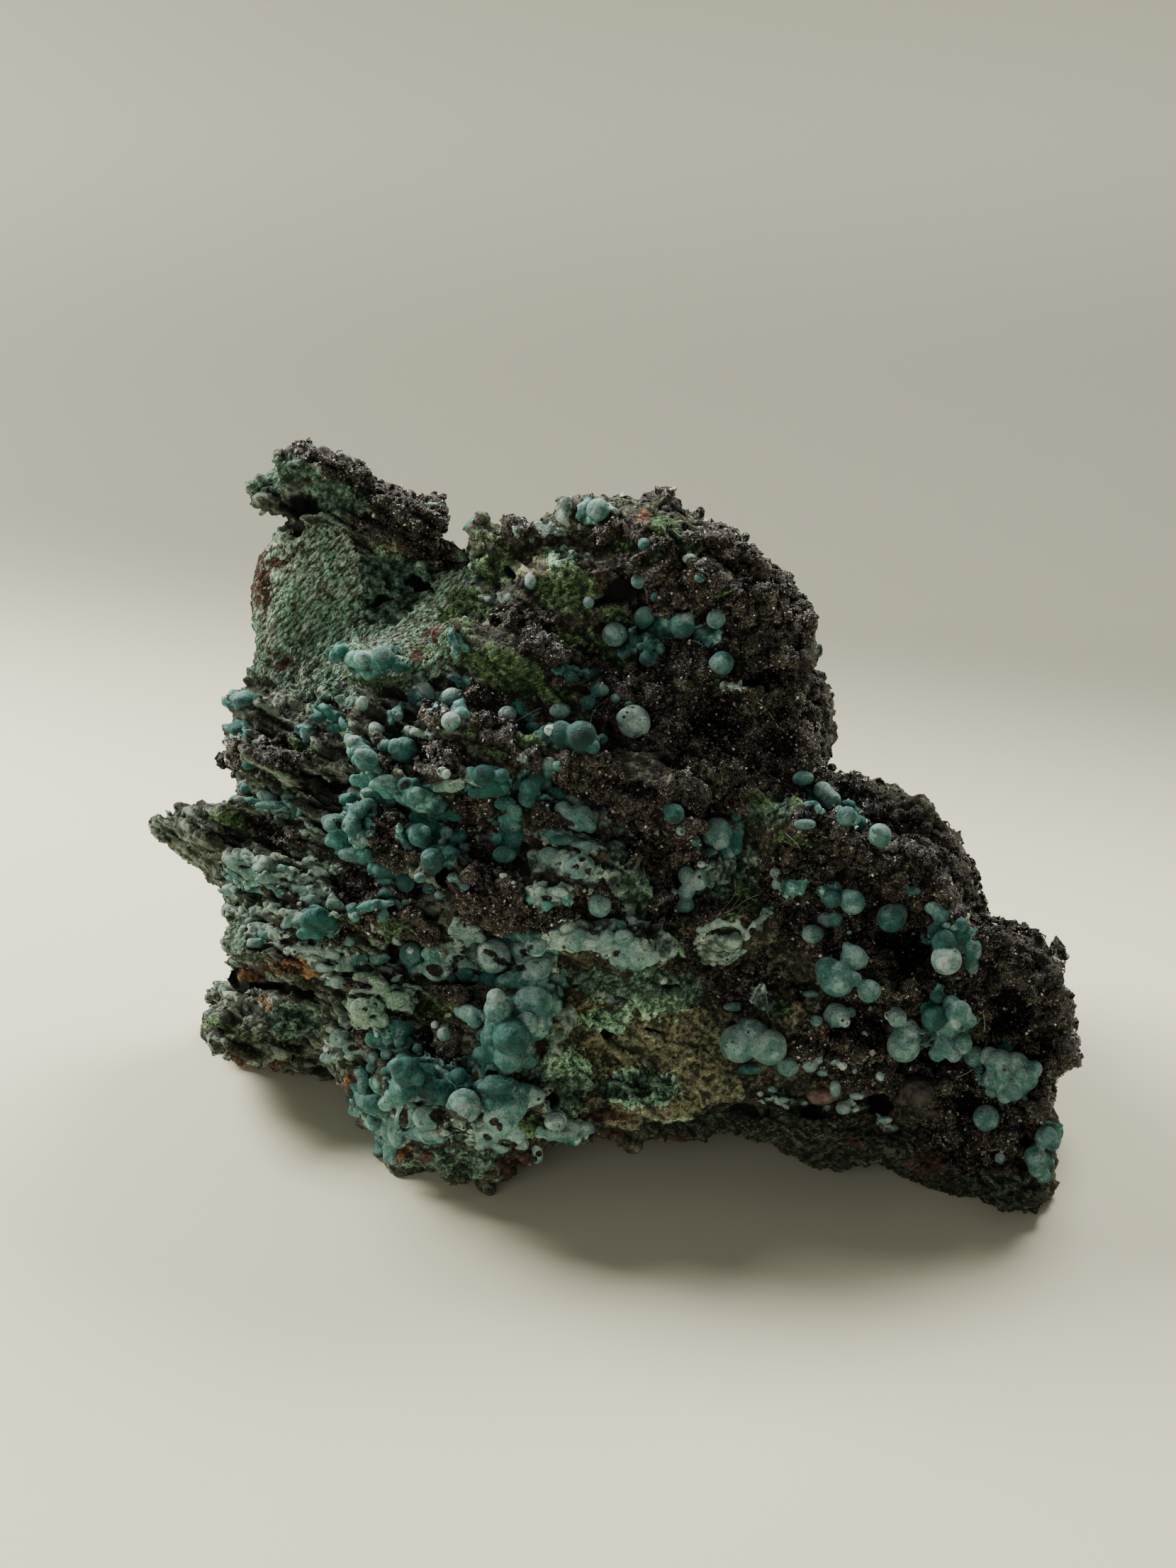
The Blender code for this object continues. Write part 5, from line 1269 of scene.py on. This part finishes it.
def copies(places, sizes, rng, level, turns=None, draw=(1, 1, 1)):
    """Many small faceted grains in one mesh: one shape, turned and stretched at each place."""
    bm = bmesh.new()
    if level == 0:
        bmesh.ops.create_uvsphere(bm, u_segments=4, v_segments=2, radius=1.15)
    elif level == 1:
        bmesh.ops.create_icosphere(bm, subdivisions=1, radius=1.0)
    else:
        bmesh.ops.create_cube(bm, size=2.0)
        bmesh.ops.subdivide_edges(bm, edges=bm.edges[:], cuts=1, use_grid_fill=True)
        for vert in bm.verts:
            vert.co.normalize()
    for vert in bm.verts:
        vert.co *= DICE.uniform(0.8, 1.15)
    shape = np.array([v.co[:] for v in bm.verts])
    loops = np.array([[v.index for v in f.verts] for f in bm.faces])
    bm.free()
    stretch = rng.uniform(0.75, 1.25, size=(len(places), 1, 3)) * np.array(draw)
    turns = random_turns(len(places), rng) if turns is None else turns
    verts = np.einsum("nij,nkj->nki", turns, shape[None] * stretch)
    verts = verts * sizes[:, None, None] + places[:, None, :]
    faces = loops[None] + (np.arange(len(places)) * len(shape))[:, None, None]
    mesh = bpy.data.meshes.new("crystals")
    mesh.from_pydata(verts.reshape(-1, 3), [], faces.reshape(-1, 3))
    # A random number for each grain; the crystals' material paints glints on the grains where it is
    # high.
    painted_glint_chance = np.repeat(rng.random((len(places), 1)), len(shape), axis=0)
    store_colour(mesh, "painted_glint_chance", [painted_glint_chance[:, 0]] * 4)
    return mesh


def make_crystals(whole, clear, material):
    """The druse of fine crystals over the plattnerite, thickest where it is darkest."""
    rng = np.random.default_rng(5)
    points, norms = coordinates(whole), normals(whole)
    across, down = on_sheet(points)
    seen = facing(points, norms, -0.3, 0.1)
    plat = smooth_step(layer_of(whole, "plattnerite"), 0.35, 0.75) * clear
    upper = 1 - smooth_step(down - 0.25 * (across - 1000), 1080, 1100)
    shares = (("upper", plat * seen * upper, 9500, (0.09, 0.27)),
              ("lower", plat * seen * (1 - upper), 9500, (0.09, 0.27)),
              ("back", plat * (1 - seen), 5000, (0.20, 0.60)))
    for name, weight, count, sizes_from in shares:
        places, sizes, *_ = strewn(whole, weight, count, sizes_from, 2, 0.3, 1.5, rng)
        mesh = copies(places, sizes, rng, 0)
        finish_piece("plattnerite_crystals_" + name, mesh, material, "plattnerite_rock")


def make_knobs(whole, clear, material):
    """Round knobs of plattnerite, larger to the right and small on the crusts at the left."""
    rng = np.random.default_rng(8)
    plat = smooth_step(layer_of(whole, "plattnerite"), 0.4, 0.8) * clear
    across = on_sheet(coordinates(whole))[0]
    coarse = smooth_step(across, 850, 1000)
    shares = (("coarse", plat * coarse, 1700, (0.42, 1.2), 2),
              ("fine", plat * (1 - coarse), 3600, (0.2, 0.6), 1))
    for name, weight, count, sizes_from, level in shares:
        places, sizes, *_ = strewn(whole, weight, count, sizes_from, 2.2, 0.05, 1.3, rng)
        mesh = copies(places, sizes, rng, level)
        mesh.shade_smooth()
        finish_piece("plattnerite_knobs_" + name, mesh, material, "plattnerite_rock")


def layers_copied(whole, mesh, nearest, each):
    """Give each small grain the layers of the skin where it sits, but not the painted shade of its
    hollows: each gets the painted light of open ground.
    """
    open_ground_painted_light, hollow_place = 0.36, 2
    for title in LAYER_SETS:
        rows = colours_of(whole, title)[nearest]
        if title == LAYER_SETS[-1]:
            rows[:, hollow_place] = open_ground_painted_light
        store_colour(mesh, title, list(np.repeat(rows, each, axis=0).T))


def laid_along(ways, turn, rng):
    """Turns that lay a grain's long side along one way on the sheet, flat on the skin."""
    waver = 0.35
    along = turned_ways(turn, np.array(RIGHT), np.array(UP))[0]
    along = along + waver * rng.normal(size=ways.shape)
    long = unit(along - (along * ways).sum(axis=1)[:, None] * ways)
    return np.stack([long, np.cross(ways, long), ways], axis=2)


def make_grains(whole, clear, material):
    """Crumbs of the softer layers, and the slab's long grains, in the skin's own colours."""
    rng = np.random.default_rng(12)
    points, norms = coordinates(whole), normals(whole)
    seen = 0.12 + 0.88 * facing(points, norms, -0.3, 0.1)
    layer = {name: layer_of(whole, name) for name in LAYER_NAMES}
    covered = np.maximum(np.maximum(layer["teal"], layer["pale"]), layer["gap"])
    bare = (1 - smooth_step(covered, 0.2, 0.5)) * (1 - layer["plattnerite"]) * clear * seen
    slab = smooth_step(layer["panel"], 0.3, 0.6)
    for name, weight, count, sizes_from, lain, draw in (
            ("crumbs", bare * (1 - slab), 9200, (0.11, 0.40), None, (1, 1, 0.8)),
            ("slab_grains", bare * slab, 6000, (0.13, 0.24), 48, (2.3, 0.8, 0.8))):
        places, sizes, ways, nearest = strewn(
            whole, weight, count, sizes_from, 1.8, 0, 1.3, rng)
        turns = None if lain is None else laid_along(ways, lain, rng)
        mesh = copies(places, sizes, rng, 1, turns, draw)
        layers_copied(whole, mesh, nearest, len(mesh.vertices) // count)
        mesh.shade_smooth()
        finish_piece("rock_" + name, mesh, material, "plattnerite_rock")


# ---- materials
class Recipe:
    """A material's node tree, built up step by step."""

    def __init__(self, name):
        self.material = bpy.data.materials.new(name)
        self.material.use_nodes = True
        self.tree = self.material.node_tree
        self.shader = self.tree.nodes["Principled BSDF"]
        here = self.node("ShaderNodeTexCoord").outputs["Object"]
        self.place = self.node("ShaderNodeMapping", {
            "Vector": here, "Scale": (1 / MM,) * 3}).outputs["Vector"]

    def node(self, kind, inputs=(), **settings):
        made = self.tree.nodes.new(kind)
        for key, value in settings.items():
            setattr(made, key, value)
        for key, value in dict(inputs).items():
            self.feed(made.inputs[key], value)
        return made

    def feed(self, socket, value):
        if isinstance(value, bpy.types.NodeSocket):
            self.tree.links.new(value, socket)
        elif isinstance(value, (tuple, list)) and len(value) == 3 and socket.type == "RGBA":
            socket.default_value = (*value, 1)
        else:
            socket.default_value = value

    def noise(self, scale, detail=4.0, roughness=0.55, place=None):
        return self.node("ShaderNodeTexNoise", {
            "Vector": place or self.place, "Scale": scale, "Detail": detail,
            "Roughness": roughness}).outputs["Fac"]

    def cells(self, scale, output="Distance"):
        return self.node("ShaderNodeTexVoronoi", {
            "Vector": self.place, "Scale": scale}).outputs[output]

    def stretched(self, turn, length, width):
        """The place, turned on the sheet and drawn out, for marks that run along one way."""
        return self.node("ShaderNodeMapping", {
            "Vector": self.place, "Rotation": (0, -math.radians(turn), 0),
            "Scale": (length, width * 1.6, width)}, vector_type="TEXTURE").outputs["Vector"]

    def step(self, value, low, high):
        return self.node("ShaderNodeMapRange", {
            "Value": value, "From Min": low, "From Max": high},
            interpolation_type="SMOOTHSTEP").outputs["Result"]

    def span(self, value, low, high, least, most):
        return self.node("ShaderNodeMapRange", {
            "Value": value, "From Min": low, "From Max": high, "To Min": least,
            "To Max": most}).outputs["Result"]

    def sum(self, a, b, operation="ADD"):
        return self.node("ShaderNodeMath", {0: a, 1: b}, operation=operation).outputs[0]

    def times(self, a, b):
        return self.sum(a, b, "MULTIPLY")

    def mix(self, share, a, b, blend="MIX", kind="RGBA"):
        """From one colour, number or direction to another."""
        first, result = {"FLOAT": (2, 0), "VECTOR": (4, 1), "RGBA": (6, 2)}[kind]
        return self.node("ShaderNodeMix", {0: share, first: a, first + 1: b},
                         data_type=kind, blend_type=blend).outputs[result]

    def tinted(self, colour, by):
        return self.mix(1.0, colour, by, "MULTIPLY")

    def attribute(self, name):
        made = self.node("ShaderNodeAttribute", attribute_name=name)
        parts = self.node("ShaderNodeSeparateColor", {"Color": made.outputs["Color"]})
        return [*(parts.outputs[i] for i in range(3)), made.outputs["Alpha"]]

    def bump(self, height, depth, strength):
        return self.node("ShaderNodeBump", {
            "Height": height, "Distance": depth, "Strength": strength}).outputs["Normal"]

    def vector(self, operation, inputs):
        return self.node("ShaderNodeVectorMath", inputs, operation=operation).outputs[0]

    def turned(self, normal, amount, scale):
        """Flat facets: the normal is tipped by a random amount that is even in each cell."""
        tip = self.vector("SUBTRACT", {0: self.cells(scale, "Color"), 1: (0.5,) * 3})
        tip = self.vector("SCALE", {0: tip, "Scale": amount})
        return self.vector("NORMALIZE", {0: self.vector("ADD", {0: normal, 1: tip})})

    def finish(self, colour, roughness, normal=None, **direct):
        self.feed(self.shader.inputs["Base Color"], colour)
        self.feed(self.shader.inputs["Roughness"], roughness)
        if normal is not None:
            self.feed(self.shader.inputs["Normal"], normal)
        for key, value in direct.items():
            self.shader.inputs[key.replace("_", " ")].default_value = value
        return self.material


class RockRecipe(Recipe):
    """The rock's recipe: noises that its layers share, and how one layer lies on another."""

    def __init__(self, name):
        super().__init__(name)
        self.middling, self.grain = self.noise(0.62, 6, 0.6), self.noise(1.9, 6, 0.66)
        self.fine, self.other = self.noise(4.8, 4, 0.6), self.noise(0.9, 5, 0.65)
        self.blotch = self.noise(0.2, 4, 0.5)
        body = self.sum(self.times(self.middling, 0.36), self.times(self.grain, 0.4))
        self.body = self.sum(body, self.times(self.fine, 0.24))
        self.ragged = self.times(self.sum(self.body, 0.5, "SUBTRACT"), 1.6)
        self.streaks = self.noise(1.0, 5, 0.6, self.stretched(-30, 9.0, 1.3))
        self.grooves = self.noise(1.0, 5, 0.68, self.stretched(48, 1.3, 0.38))
        self.threads = self.crossed(3, 0.6, 2.6, 0.30)

    def crossed(self, detail, roughness, length, width):
        """Fine threads that run two ways across each other."""
        runs = [self.noise(1.0, detail, roughness, self.stretched(turn, length, width))
                for turn in (25, -35)]
        return self.sum(*runs, "MAXIMUM")

    def rim(self, weight, low, high, share):
        """Where a layer covers what is under it, with a ragged edge."""
        return self.step(self.sum(weight, self.times(self.ragged, share)), low, high)

    def tones(self, low, middle, high, by=None, places=(0.41, 0.5, 0.58)):
        """A colour that goes from dark through middling to pale as a noise rises."""
        by = by or self.body
        shade = self.mix(self.step(by, places[0], places[1]), low, middle)
        return self.mix(self.step(by, places[1], places[2]), shade, high)


def ground_colour(r, slaty, earth, jade, fringe):
    """Bare limonite: brown to olive, slaty at the left, and its earthy, green and hairy parts; the
    earthy scoop is painted brighter as painted light.
    """
    ground = r.tones((0.016, 0.012, 0.008), (0.080, 0.064, 0.038), (0.26, 0.23, 0.15))
    olive = r.tones((0.012, 0.018, 0.010), (0.062, 0.082, 0.044), (0.24, 0.30, 0.19))
    colour = r.mix(r.step(r.other, 0.44, 0.58), ground, olive)
    slate = r.tones((0.012, 0.014, 0.009), (0.072, 0.096, 0.062), (0.32, 0.42, 0.32), r.streaks)
    colour = r.mix(r.times(slaty, 0.75), colour, slate)
    # The earthy scoop faces down under the overhang: its brown is painted pale and the green on it
    # four times brighter, as painted light where it lies in shade.
    brown = r.tones((0.060, 0.044, 0.026), (0.36, 0.300, 0.165), (0.80, 0.70, 0.42))
    greened = r.mix(0.6, brown, (0.16, 0.36, 0.19))
    brown = r.mix(r.step(r.grain, 0.49, 0.55), brown, greened)
    colour = r.mix(r.rim(earth, 0.36, 0.60, 1.2), colour, brown)
    green = r.tones((0.012, 0.030, 0.020), (0.095, 0.185, 0.120), (0.33, 0.52, 0.38))
    green = r.mix(earth, green, r.tinted(green, (4.2, 3.9, 3.6)))
    colour = r.mix(r.rim(jade, 0.36, 0.56, 3.2), colour, green)
    hair = r.tones((0.006, 0.006, 0.004), (0.040, 0.044, 0.026), (0.20, 0.24, 0.15), r.threads,
                   (0.48, 0.57, 0.68))
    hair = r.mix(r.step(r.other, 0.50, 0.60), hair, r.mix(0.6, hair, (0.10, 0.17, 0.10)))
    return r.mix(r.rim(fringe, 0.36, 0.56, 2.6), colour, hair)


def slab_colour(r, colour, panel):
    """The grey-green slab, grooved and browner in blotches, with painted light towards its top and
    painted shade lower down.
    """
    slab = r.tones((0.085, 0.060, 0.045), (0.300, 0.440, 0.315), (0.60, 0.78, 0.60), r.grooves)
    slab = r.mix(r.step(r.other, 0.48, 0.62), slab, r.mix(0.4, slab, (0.21, 0.18, 0.12)))
    slab = r.mix(r.step(r.blotch, 0.44, 0.56), slab, r.tinted(slab, (0.75, 1.00, 0.90)))
    tall = r.node("ShaderNodeSeparateXYZ", {0: r.place}).outputs[2]
    # Painted light and shade: the slab is painted paler high up and darker low down.
    slab = r.tinted(slab, r.span(tall, 58, 72, 0.52, 1.35))
    return r.mix(r.rim(panel, 0.3, 0.55, 0.9), colour, slab)


def moss_and_rust_colour(r, colour, moss, rust):
    """Yellow-green mossy wisps, and maroon rust that is orange where it is thickest."""
    wisps = r.sum(r.times(r.crossed(5, 0.7, 1.5, 0.24), 0.5), r.times(r.body, 0.5))
    leaf = r.tones((0.012, 0.026, 0.010), (0.105, 0.195, 0.070), (0.52, 0.74, 0.34), wisps,
                   (0.45, 0.53, 0.60))
    colour = r.mix(r.rim(moss, 0.42, 0.62, 1.8), colour, leaf)
    maroon = r.tones((0.022, 0.011, 0.008), (0.095, 0.042, 0.028), (0.22, 0.14, 0.09))
    colour = r.mix(r.rim(rust, 0.40, 0.52, 1.3), colour, maroon)
    orange = r.tones((0.09, 0.040, 0.020), (0.31, 0.150, 0.055), (0.52, 0.32, 0.15))
    return r.mix(r.rim(rust, 0.74, 0.90, 0.9), colour, orange)


def crust_colour(r, colour, crusted, wet, pale):
    """The dark plattnerite with painted glint specks, and the teal and milky films on it."""
    dark = r.tones((0.004, 0.0033, 0.0028), (0.018, 0.0152, 0.0120), (0.086, 0.074, 0.058))
    dark = r.mix(r.step(r.blotch, 0.5, 0.62), dark, r.mix(0.35, dark, (0.060, 0.056, 0.030)))
    # Painted glints: fine specks painted pale brown on the dark crust.
    dark = r.mix(r.step(r.noise(7.0, 2, 0.5), 0.61, 0.67), dark, (0.34, 0.29, 0.225))
    colour = r.mix(crusted, colour, dark)
    water = r.tones((0.008, 0.050, 0.044), (0.046, 0.145, 0.126), (0.16, 0.300, 0.262),
                    r.middling, (0.38, 0.52, 0.64))
    colour = r.mix(wet, colour, water)
    milk = r.tones((0.085, 0.130, 0.102), (0.225, 0.325, 0.262), (0.45, 0.58, 0.48), r.middling)
    holes = r.times(r.step(r.cells(0.75), 0.26, 0.17), r.step(r.other, 0.44, 0.52))
    milk = r.mix(holes, milk, (0.020, 0.022, 0.016))
    return r.mix(r.rim(pale, 0.44, 0.54, 1.5), colour, milk)


def rock_material():
    """Broken limonite under its layers: each layer has its own colours and its own ragged rim, with
    painted shade in hollows and gaps, painted light on edges and painted glints on the crust.
    """
    r = RockRecipe("limonite_and_crust")
    plat, teal, pale, moss = r.attribute(LAYER_SETS[0])
    rust, panel, jade, gap = r.attribute(LAYER_SETS[1])
    earth, fringe, hollow, slaty = r.attribute(LAYER_SETS[2])
    crusted, wet = r.rim(plat, 0.34, 0.5, 1.2), r.rim(teal, 0.42, 0.54, 1.0)
    colour = ground_colour(r, slaty, earth, jade, fringe)
    colour = slab_colour(r, colour, panel)
    colour = moss_and_rust_colour(r, colour, moss, rust)
    colour = crust_colour(r, colour, crusted, wet, pale)
    # Painted shade darkens the hollows, and painted light with some dust brightens the edges, more
    # strongly on the crust.
    painted_shade_and_edge_light = r.span(hollow, 0.22, 0.80, 1.35, 0.28)
    painted_shade_and_edge_light = r.mix(crusted, painted_shade_and_edge_light, r.span(hollow, 0.22, 0.72, 2.4, 0.16))
    colour = r.tinted(colour, painted_shade_and_edge_light)
    # Painted shade: the gaps are painted near black.
    colour = r.mix(r.step(gap, 0.2, 0.8), colour, (0.005, 0.004, 0.003))
    height = r.sum(r.times(r.body, 1.6), r.times(r.fine, 0.5))
    height = r.sum(height, r.times(r.grooves, r.times(panel, 0.9)))
    height = r.sum(height, r.times(r.threads, r.times(fringe, 1.2)))
    normal = r.bump(height, 0.0008, r.span(wet, 0, 1, 1.0, 0.3))
    glint = r.mix(crusted, normal, r.turned(normal, 1.2, 4.0), kind="VECTOR")
    gloss = r.span(r.cells(4.0, "Color"), 0, 1, 0.12, 0.6)
    return r.finish(colour, r.mix(crusted, 0.88, gloss, kind="FLOAT"), glint)


def crystal_material():
    """Plattnerite: nearly black, with painted glints: some crystals painted bright and faintly
    brown, a few near white.
    """
    r = Recipe("plattnerite_crystals")
    painted_glint_chance = r.attribute("painted_glint_chance")[0]
    shade = r.noise(0.7, 4, 0.6)
    colour = r.mix(r.step(shade, 0.42, 0.6), (0.005, 0.0043, 0.0037), (0.032, 0.0265, 0.0220))
    colour = r.mix(r.step(r.noise(0.25, 3), 0.54, 0.66), colour, (0.040, 0.037, 0.021))
    # Painted glints: a share of the crystals painted bright and faintly brown, a few near white.
    colour = r.mix(r.step(painted_glint_chance, 0.76, 0.88), colour, (0.37, 0.315, 0.25))
    colour = r.mix(r.step(painted_glint_chance, 0.965, 0.98), colour, (0.88, 0.85, 0.78))
    gloss = r.span(r.noise(3.0, 2), 0.3, 0.7, 0.08, 0.36)
    normal = r.bump(r.noise(7.0, 2), 0.00015, 0.5)
    return r.finish(colour, gloss, normal, IOR=1.9)


def knob_material():
    """A knob of plattnerite, set all over with facets too small to model, and with painted glint
    specks.
    """
    r = Recipe("plattnerite_knobs")
    shade, grain, fine = r.noise(0.5, 5, 0.6), r.noise(2.4, 5, 0.65), r.noise(7.0, 2, 0.5)
    colour = r.mix(r.step(grain, 0.40, 0.62), (0.004, 0.0034, 0.0028), (0.031, 0.0255, 0.0200))
    colour = r.mix(r.step(shade, 0.52, 0.64), colour, r.mix(0.6, colour, (0.050, 0.045, 0.024)))
    # Painted glints: fine specks painted bright and faintly brown.
    colour = r.mix(r.step(fine, 0.61, 0.67), colour, (0.37, 0.315, 0.25))
    normal = r.bump(r.sum(grain, r.cells(3.6), "SUBTRACT"), 0.0004, 0.9)
    gloss = r.span(r.cells(4.4, "Color"), 0, 1, 0.16, 0.8)
    return r.finish(colour, gloss, r.turned(normal, 1.1, 4.4), IOR=1.45)


def rosasite_material():
    """Rosasite: matt blue-green with a velvet bloom, paler on top from dust and painted light,
    darker underneath from painted shade.
    """
    r = Recipe("rosasite_velvet")
    tone, mint, chance, grime = r.attribute("tones")
    cloud, fine, veil = r.noise(0.8, 5, 0.6), r.noise(3.2, 4, 0.6), r.noise(0.45, 3, 0.5)
    shift = r.times(r.sum(cloud, 0.5, "SUBTRACT"), 0.8)
    shift = r.sum(shift, r.times(r.sum(chance, 0.5, "SUBTRACT"), 0.16))
    shift = r.sum(shift, r.times(r.sum(fine, 0.5, "SUBTRACT"), 0.3))
    shift = r.sum(shift, r.span(r.step(veil, 0.5, 0.54), 0, 1, -0.06, 0.10))
    # Paler where it faces up, partly dust and partly painted light; darker where it faces down, a
    # painted shade.
    up = r.node("ShaderNodeSeparateXYZ", {0: r.node("ShaderNodeNewGeometry").outputs["Normal"]})
    value = r.sum(r.sum(tone, shift), r.span(up.outputs[2], -0.6, 1.0, -0.10, 0.12))
    ramp = r.node("ShaderNodeValToRGB", {"Fac": value})
    steps = ((0.0, (0.005, 0.034, 0.030)), (0.3, (0.021, 0.118, 0.102)),
             (0.52, (0.099, 0.223, 0.199)), (0.78, (0.290, 0.422, 0.382)),
             (1.0, (0.520, 0.630, 0.550)))
    for place, _ in steps[1:-1]:
        ramp.color_ramp.elements.new(place)
    for element, (place, shade) in zip(ramp.color_ramp.elements, steps):
        element.position, element.color = place, (*shade, 1)
    minty = r.mix(r.step(fine, 0.35, 0.65), (0.11, 0.22, 0.12), (0.34, 0.50, 0.32))
    clear = r.tinted(ramp.outputs["Color"], (0.68, 1.10, 1.02))
    colour = r.mix(r.step(mint, -0.1, -0.9), ramp.outputs["Color"], clear)
    colour = r.mix(r.times(mint, 0.8), colour, minty)
    dirt = r.step(r.noise(1.3, 5, 0.7), 0.60, 0.66)
    colour = r.mix(dirt, colour, (0.030, 0.036, 0.026))
    holes = r.times(r.step(r.cells(0.8), 0.26, 0.16), r.step(tone, 0.7, 0.8))
    colour = r.mix(holes, colour, (0.024, 0.026, 0.020))
    crumb = r.noise(3.4, 5, 0.7)
    shown = r.step(r.sum(grime, r.times(r.sum(crumb, 0.5, "SUBTRACT"), 1.2)), 0.42, 0.52)
    dark = r.mix(r.step(crumb, 0.5, 0.62), (0.010, 0.008, 0.006), (0.085, 0.072, 0.052))
    colour = r.mix(shown, colour, dark)
    normal = r.bump(r.sum(fine, r.times(cloud, 0.8)), 0.0003, 0.8)
    return r.finish(colour, r.span(fine, 0.3, 0.7, 0.55, 0.8), normal, Sheen_Weight=0.12,
                    Sheen_Roughness=0.5, Sheen_Tint=(0.55, 0.95, 0.88, 1), Specular_IOR_Level=0.3)


def fibre_material():
    """Pale dust fibre."""
    r = Recipe("dust_fibre")
    colour = r.mix(r.noise(0.5, 3), (0.34, 0.38, 0.30), (0.62, 0.66, 0.56))
    return r.finish(colour, 0.6)


def smoky_material(name, dark, light):
    """A glassy lump, clouded brown or red."""
    r = Recipe(name)
    colour = r.mix(r.step(r.noise(0.9, 5, 0.6), 0.38, 0.62), dark, light)
    normal = r.bump(r.noise(2.5, 5, 0.6), 0.0003, 0.8)
    return r.finish(colour, r.span(r.noise(1.5, 3), 0.3, 0.7, 0.35, 0.7), normal)


def paper_material():
    """Pale paper with painted shade where it rises behind: the grey begins nearer on the right and
    is darkest low on the rise.
    """
    r = Recipe("pale_paper")
    part = r.node("ShaderNodeSeparateXYZ", {0: r.place})
    # Painted shade: the rise is painted grey, darker low down, and the grey starts nearer at the
    # right.
    deep = r.sum(part.outputs[1], r.times(part.outputs[0], 0.35))
    near = r.mix(r.noise(0.02, 3), (0.79, 0.760, 0.575), (0.81, 0.780, 0.595))
    painted_shade_wall = r.mix(r.step(part.outputs[2], 25, 90), (0.192, 0.186, 0.143), (0.278, 0.270, 0.212))
    return r.finish(r.mix(r.step(deep, 45, 215), near, painted_shade_wall), 0.75)


# ---- the studio
def make_sweep():
    """A pale floor that rises behind in one curve."""
    bm = bmesh.new()
    front, back, radius, top, half = -1.6, 0.20, 0.22, 1.6, 2.2
    bend, steps, lean_back = math.radians(84), 24, 0.15

    def drawn(edges, way):
        out = bmesh.ops.extrude_edge_only(bm, edges=edges)["geom"]
        bmesh.ops.translate(bm, verts=of_kind(out, bmesh.types.BMVert), vec=way)
        return of_kind(out, bmesh.types.BMEdge)

    ends = [bm.verts.new((x, front, 0)) for x in (-half, half)]
    edge = drawn([bm.edges.new(ends)], (0, back - front, 0))
    spun = bmesh.ops.spin(bm, geom=edge, cent=(0, back, radius), axis=(1, 0, 0),
                          angle=bend, steps=steps)
    drawn(of_kind(spun["geom_last"], bmesh.types.BMEdge), (0, lean_back, top))
    bmesh.ops.remove_doubles(bm, verts=bm.verts, dist=1e-6)
    bmesh.ops.recalc_face_normals(bm, faces=bm.faces)
    mesh = mesh_of(bm, "sweep")
    mesh.shade_smooth()
    mesh.materials.append(paper_material())
    new_object("sweep", mesh)


def stood(name, data, place, way):
    """A lamp or the camera in its place, looking one way."""
    obj = new_object(name, data)
    obj.location, obj.rotation_mode = place, "QUATERNION"
    obj.rotation_quaternion = way.to_track_quat("-Z", "Y")
    return obj


def area_light(name, place, aim, width, depth, power, tint):
    light = bpy.data.lights.new(name, "AREA")
    light.shape, light.size, light.size_y = "RECTANGLE", width, depth
    light.energy, light.color = power, tint
    stood(name, light, place, Vector(aim) - Vector(place))


def make_lights():
    """Two lamps above and behind, and a weak fill in front."""
    warm, foot = (1.0, 0.98, 0.92), (0, 0, 0.02)
    area_light("overhead_left", (-0.50, 0.30, 0.48), foot, 0.40, 0.26, 12, warm)
    area_light("overhead_right", (0.22, 0.37, 0.51), foot, 0.36, 0.24, 5.5, warm)
    area_light("front_fill", (-0.3, -0.95, 0.42), (0, 0, 0.04), 1.0, 0.6, 2.3, (1.0, 0.98, 0.94))
    world = bpy.data.worlds.new("room")
    world.use_nodes = True
    ground = world.node_tree.nodes["Background"]
    ground.inputs["Color"].default_value = (*warm, 1)
    ground.inputs["Strength"].default_value = 0.10
    bpy.context.scene.world = world


def make_camera():
    camera = bpy.data.cameras.new("reader")
    sensor = 36.0
    camera.sensor_width, camera.lens = sensor, sensor * EYE_DISTANCE / (SHEET_HEIGHT * SHEET_STEP)
    camera.clip_start, camera.clip_end = 0.01, 20
    bpy.context.scene.camera = stood("reader", camera, EYE * MM, AWAY)


def main():
    found = node_balls()
    balls = [ball for rows in found.values() for ball in rows]
    limonite = rock_material()
    whole, skin = make_rock(limonite, balls)
    rosasite, crystal, knob = rosasite_material(), crystal_material(), knob_material()
    found = drawn_out(found, skin)
    balls = [ball for rows in found.values() for ball in rows]
    laid = flow_places(skin)
    balls += [(centre, min(long, high)) for centre, _, long, high, *_ in laid]
    clear = smooth_step(ball_gaps(coordinates(whole), balls), 0.2, 0.7)
    make_flows(laid, rosasite)
    make_growths(found, skin, rosasite)
    make_small_balls(skin, rosasite)
    make_crusts(skin, rosasite)
    make_lumps(skin, "smoky_lumps", SMOKY_LUMPS,
               smoky_material("smoky_glass", (0.012, 0.010, 0.009), (0.06, 0.045, 0.035)))
    make_lumps(skin, "reddish_lumps", REDDISH_LUMPS,
               smoky_material("reddish_glass", (0.10, 0.055, 0.045), (0.22, 0.15, 0.12)))
    make_crystals(whole, clear, crystal)
    make_knobs(whole, clear, knob)
    make_set_knobs(skin, knob)
    make_grains(whole, clear, limonite)
    make_fibres(skin, fibre_material())
    make_sweep()
    make_lights()
    make_camera()


main()
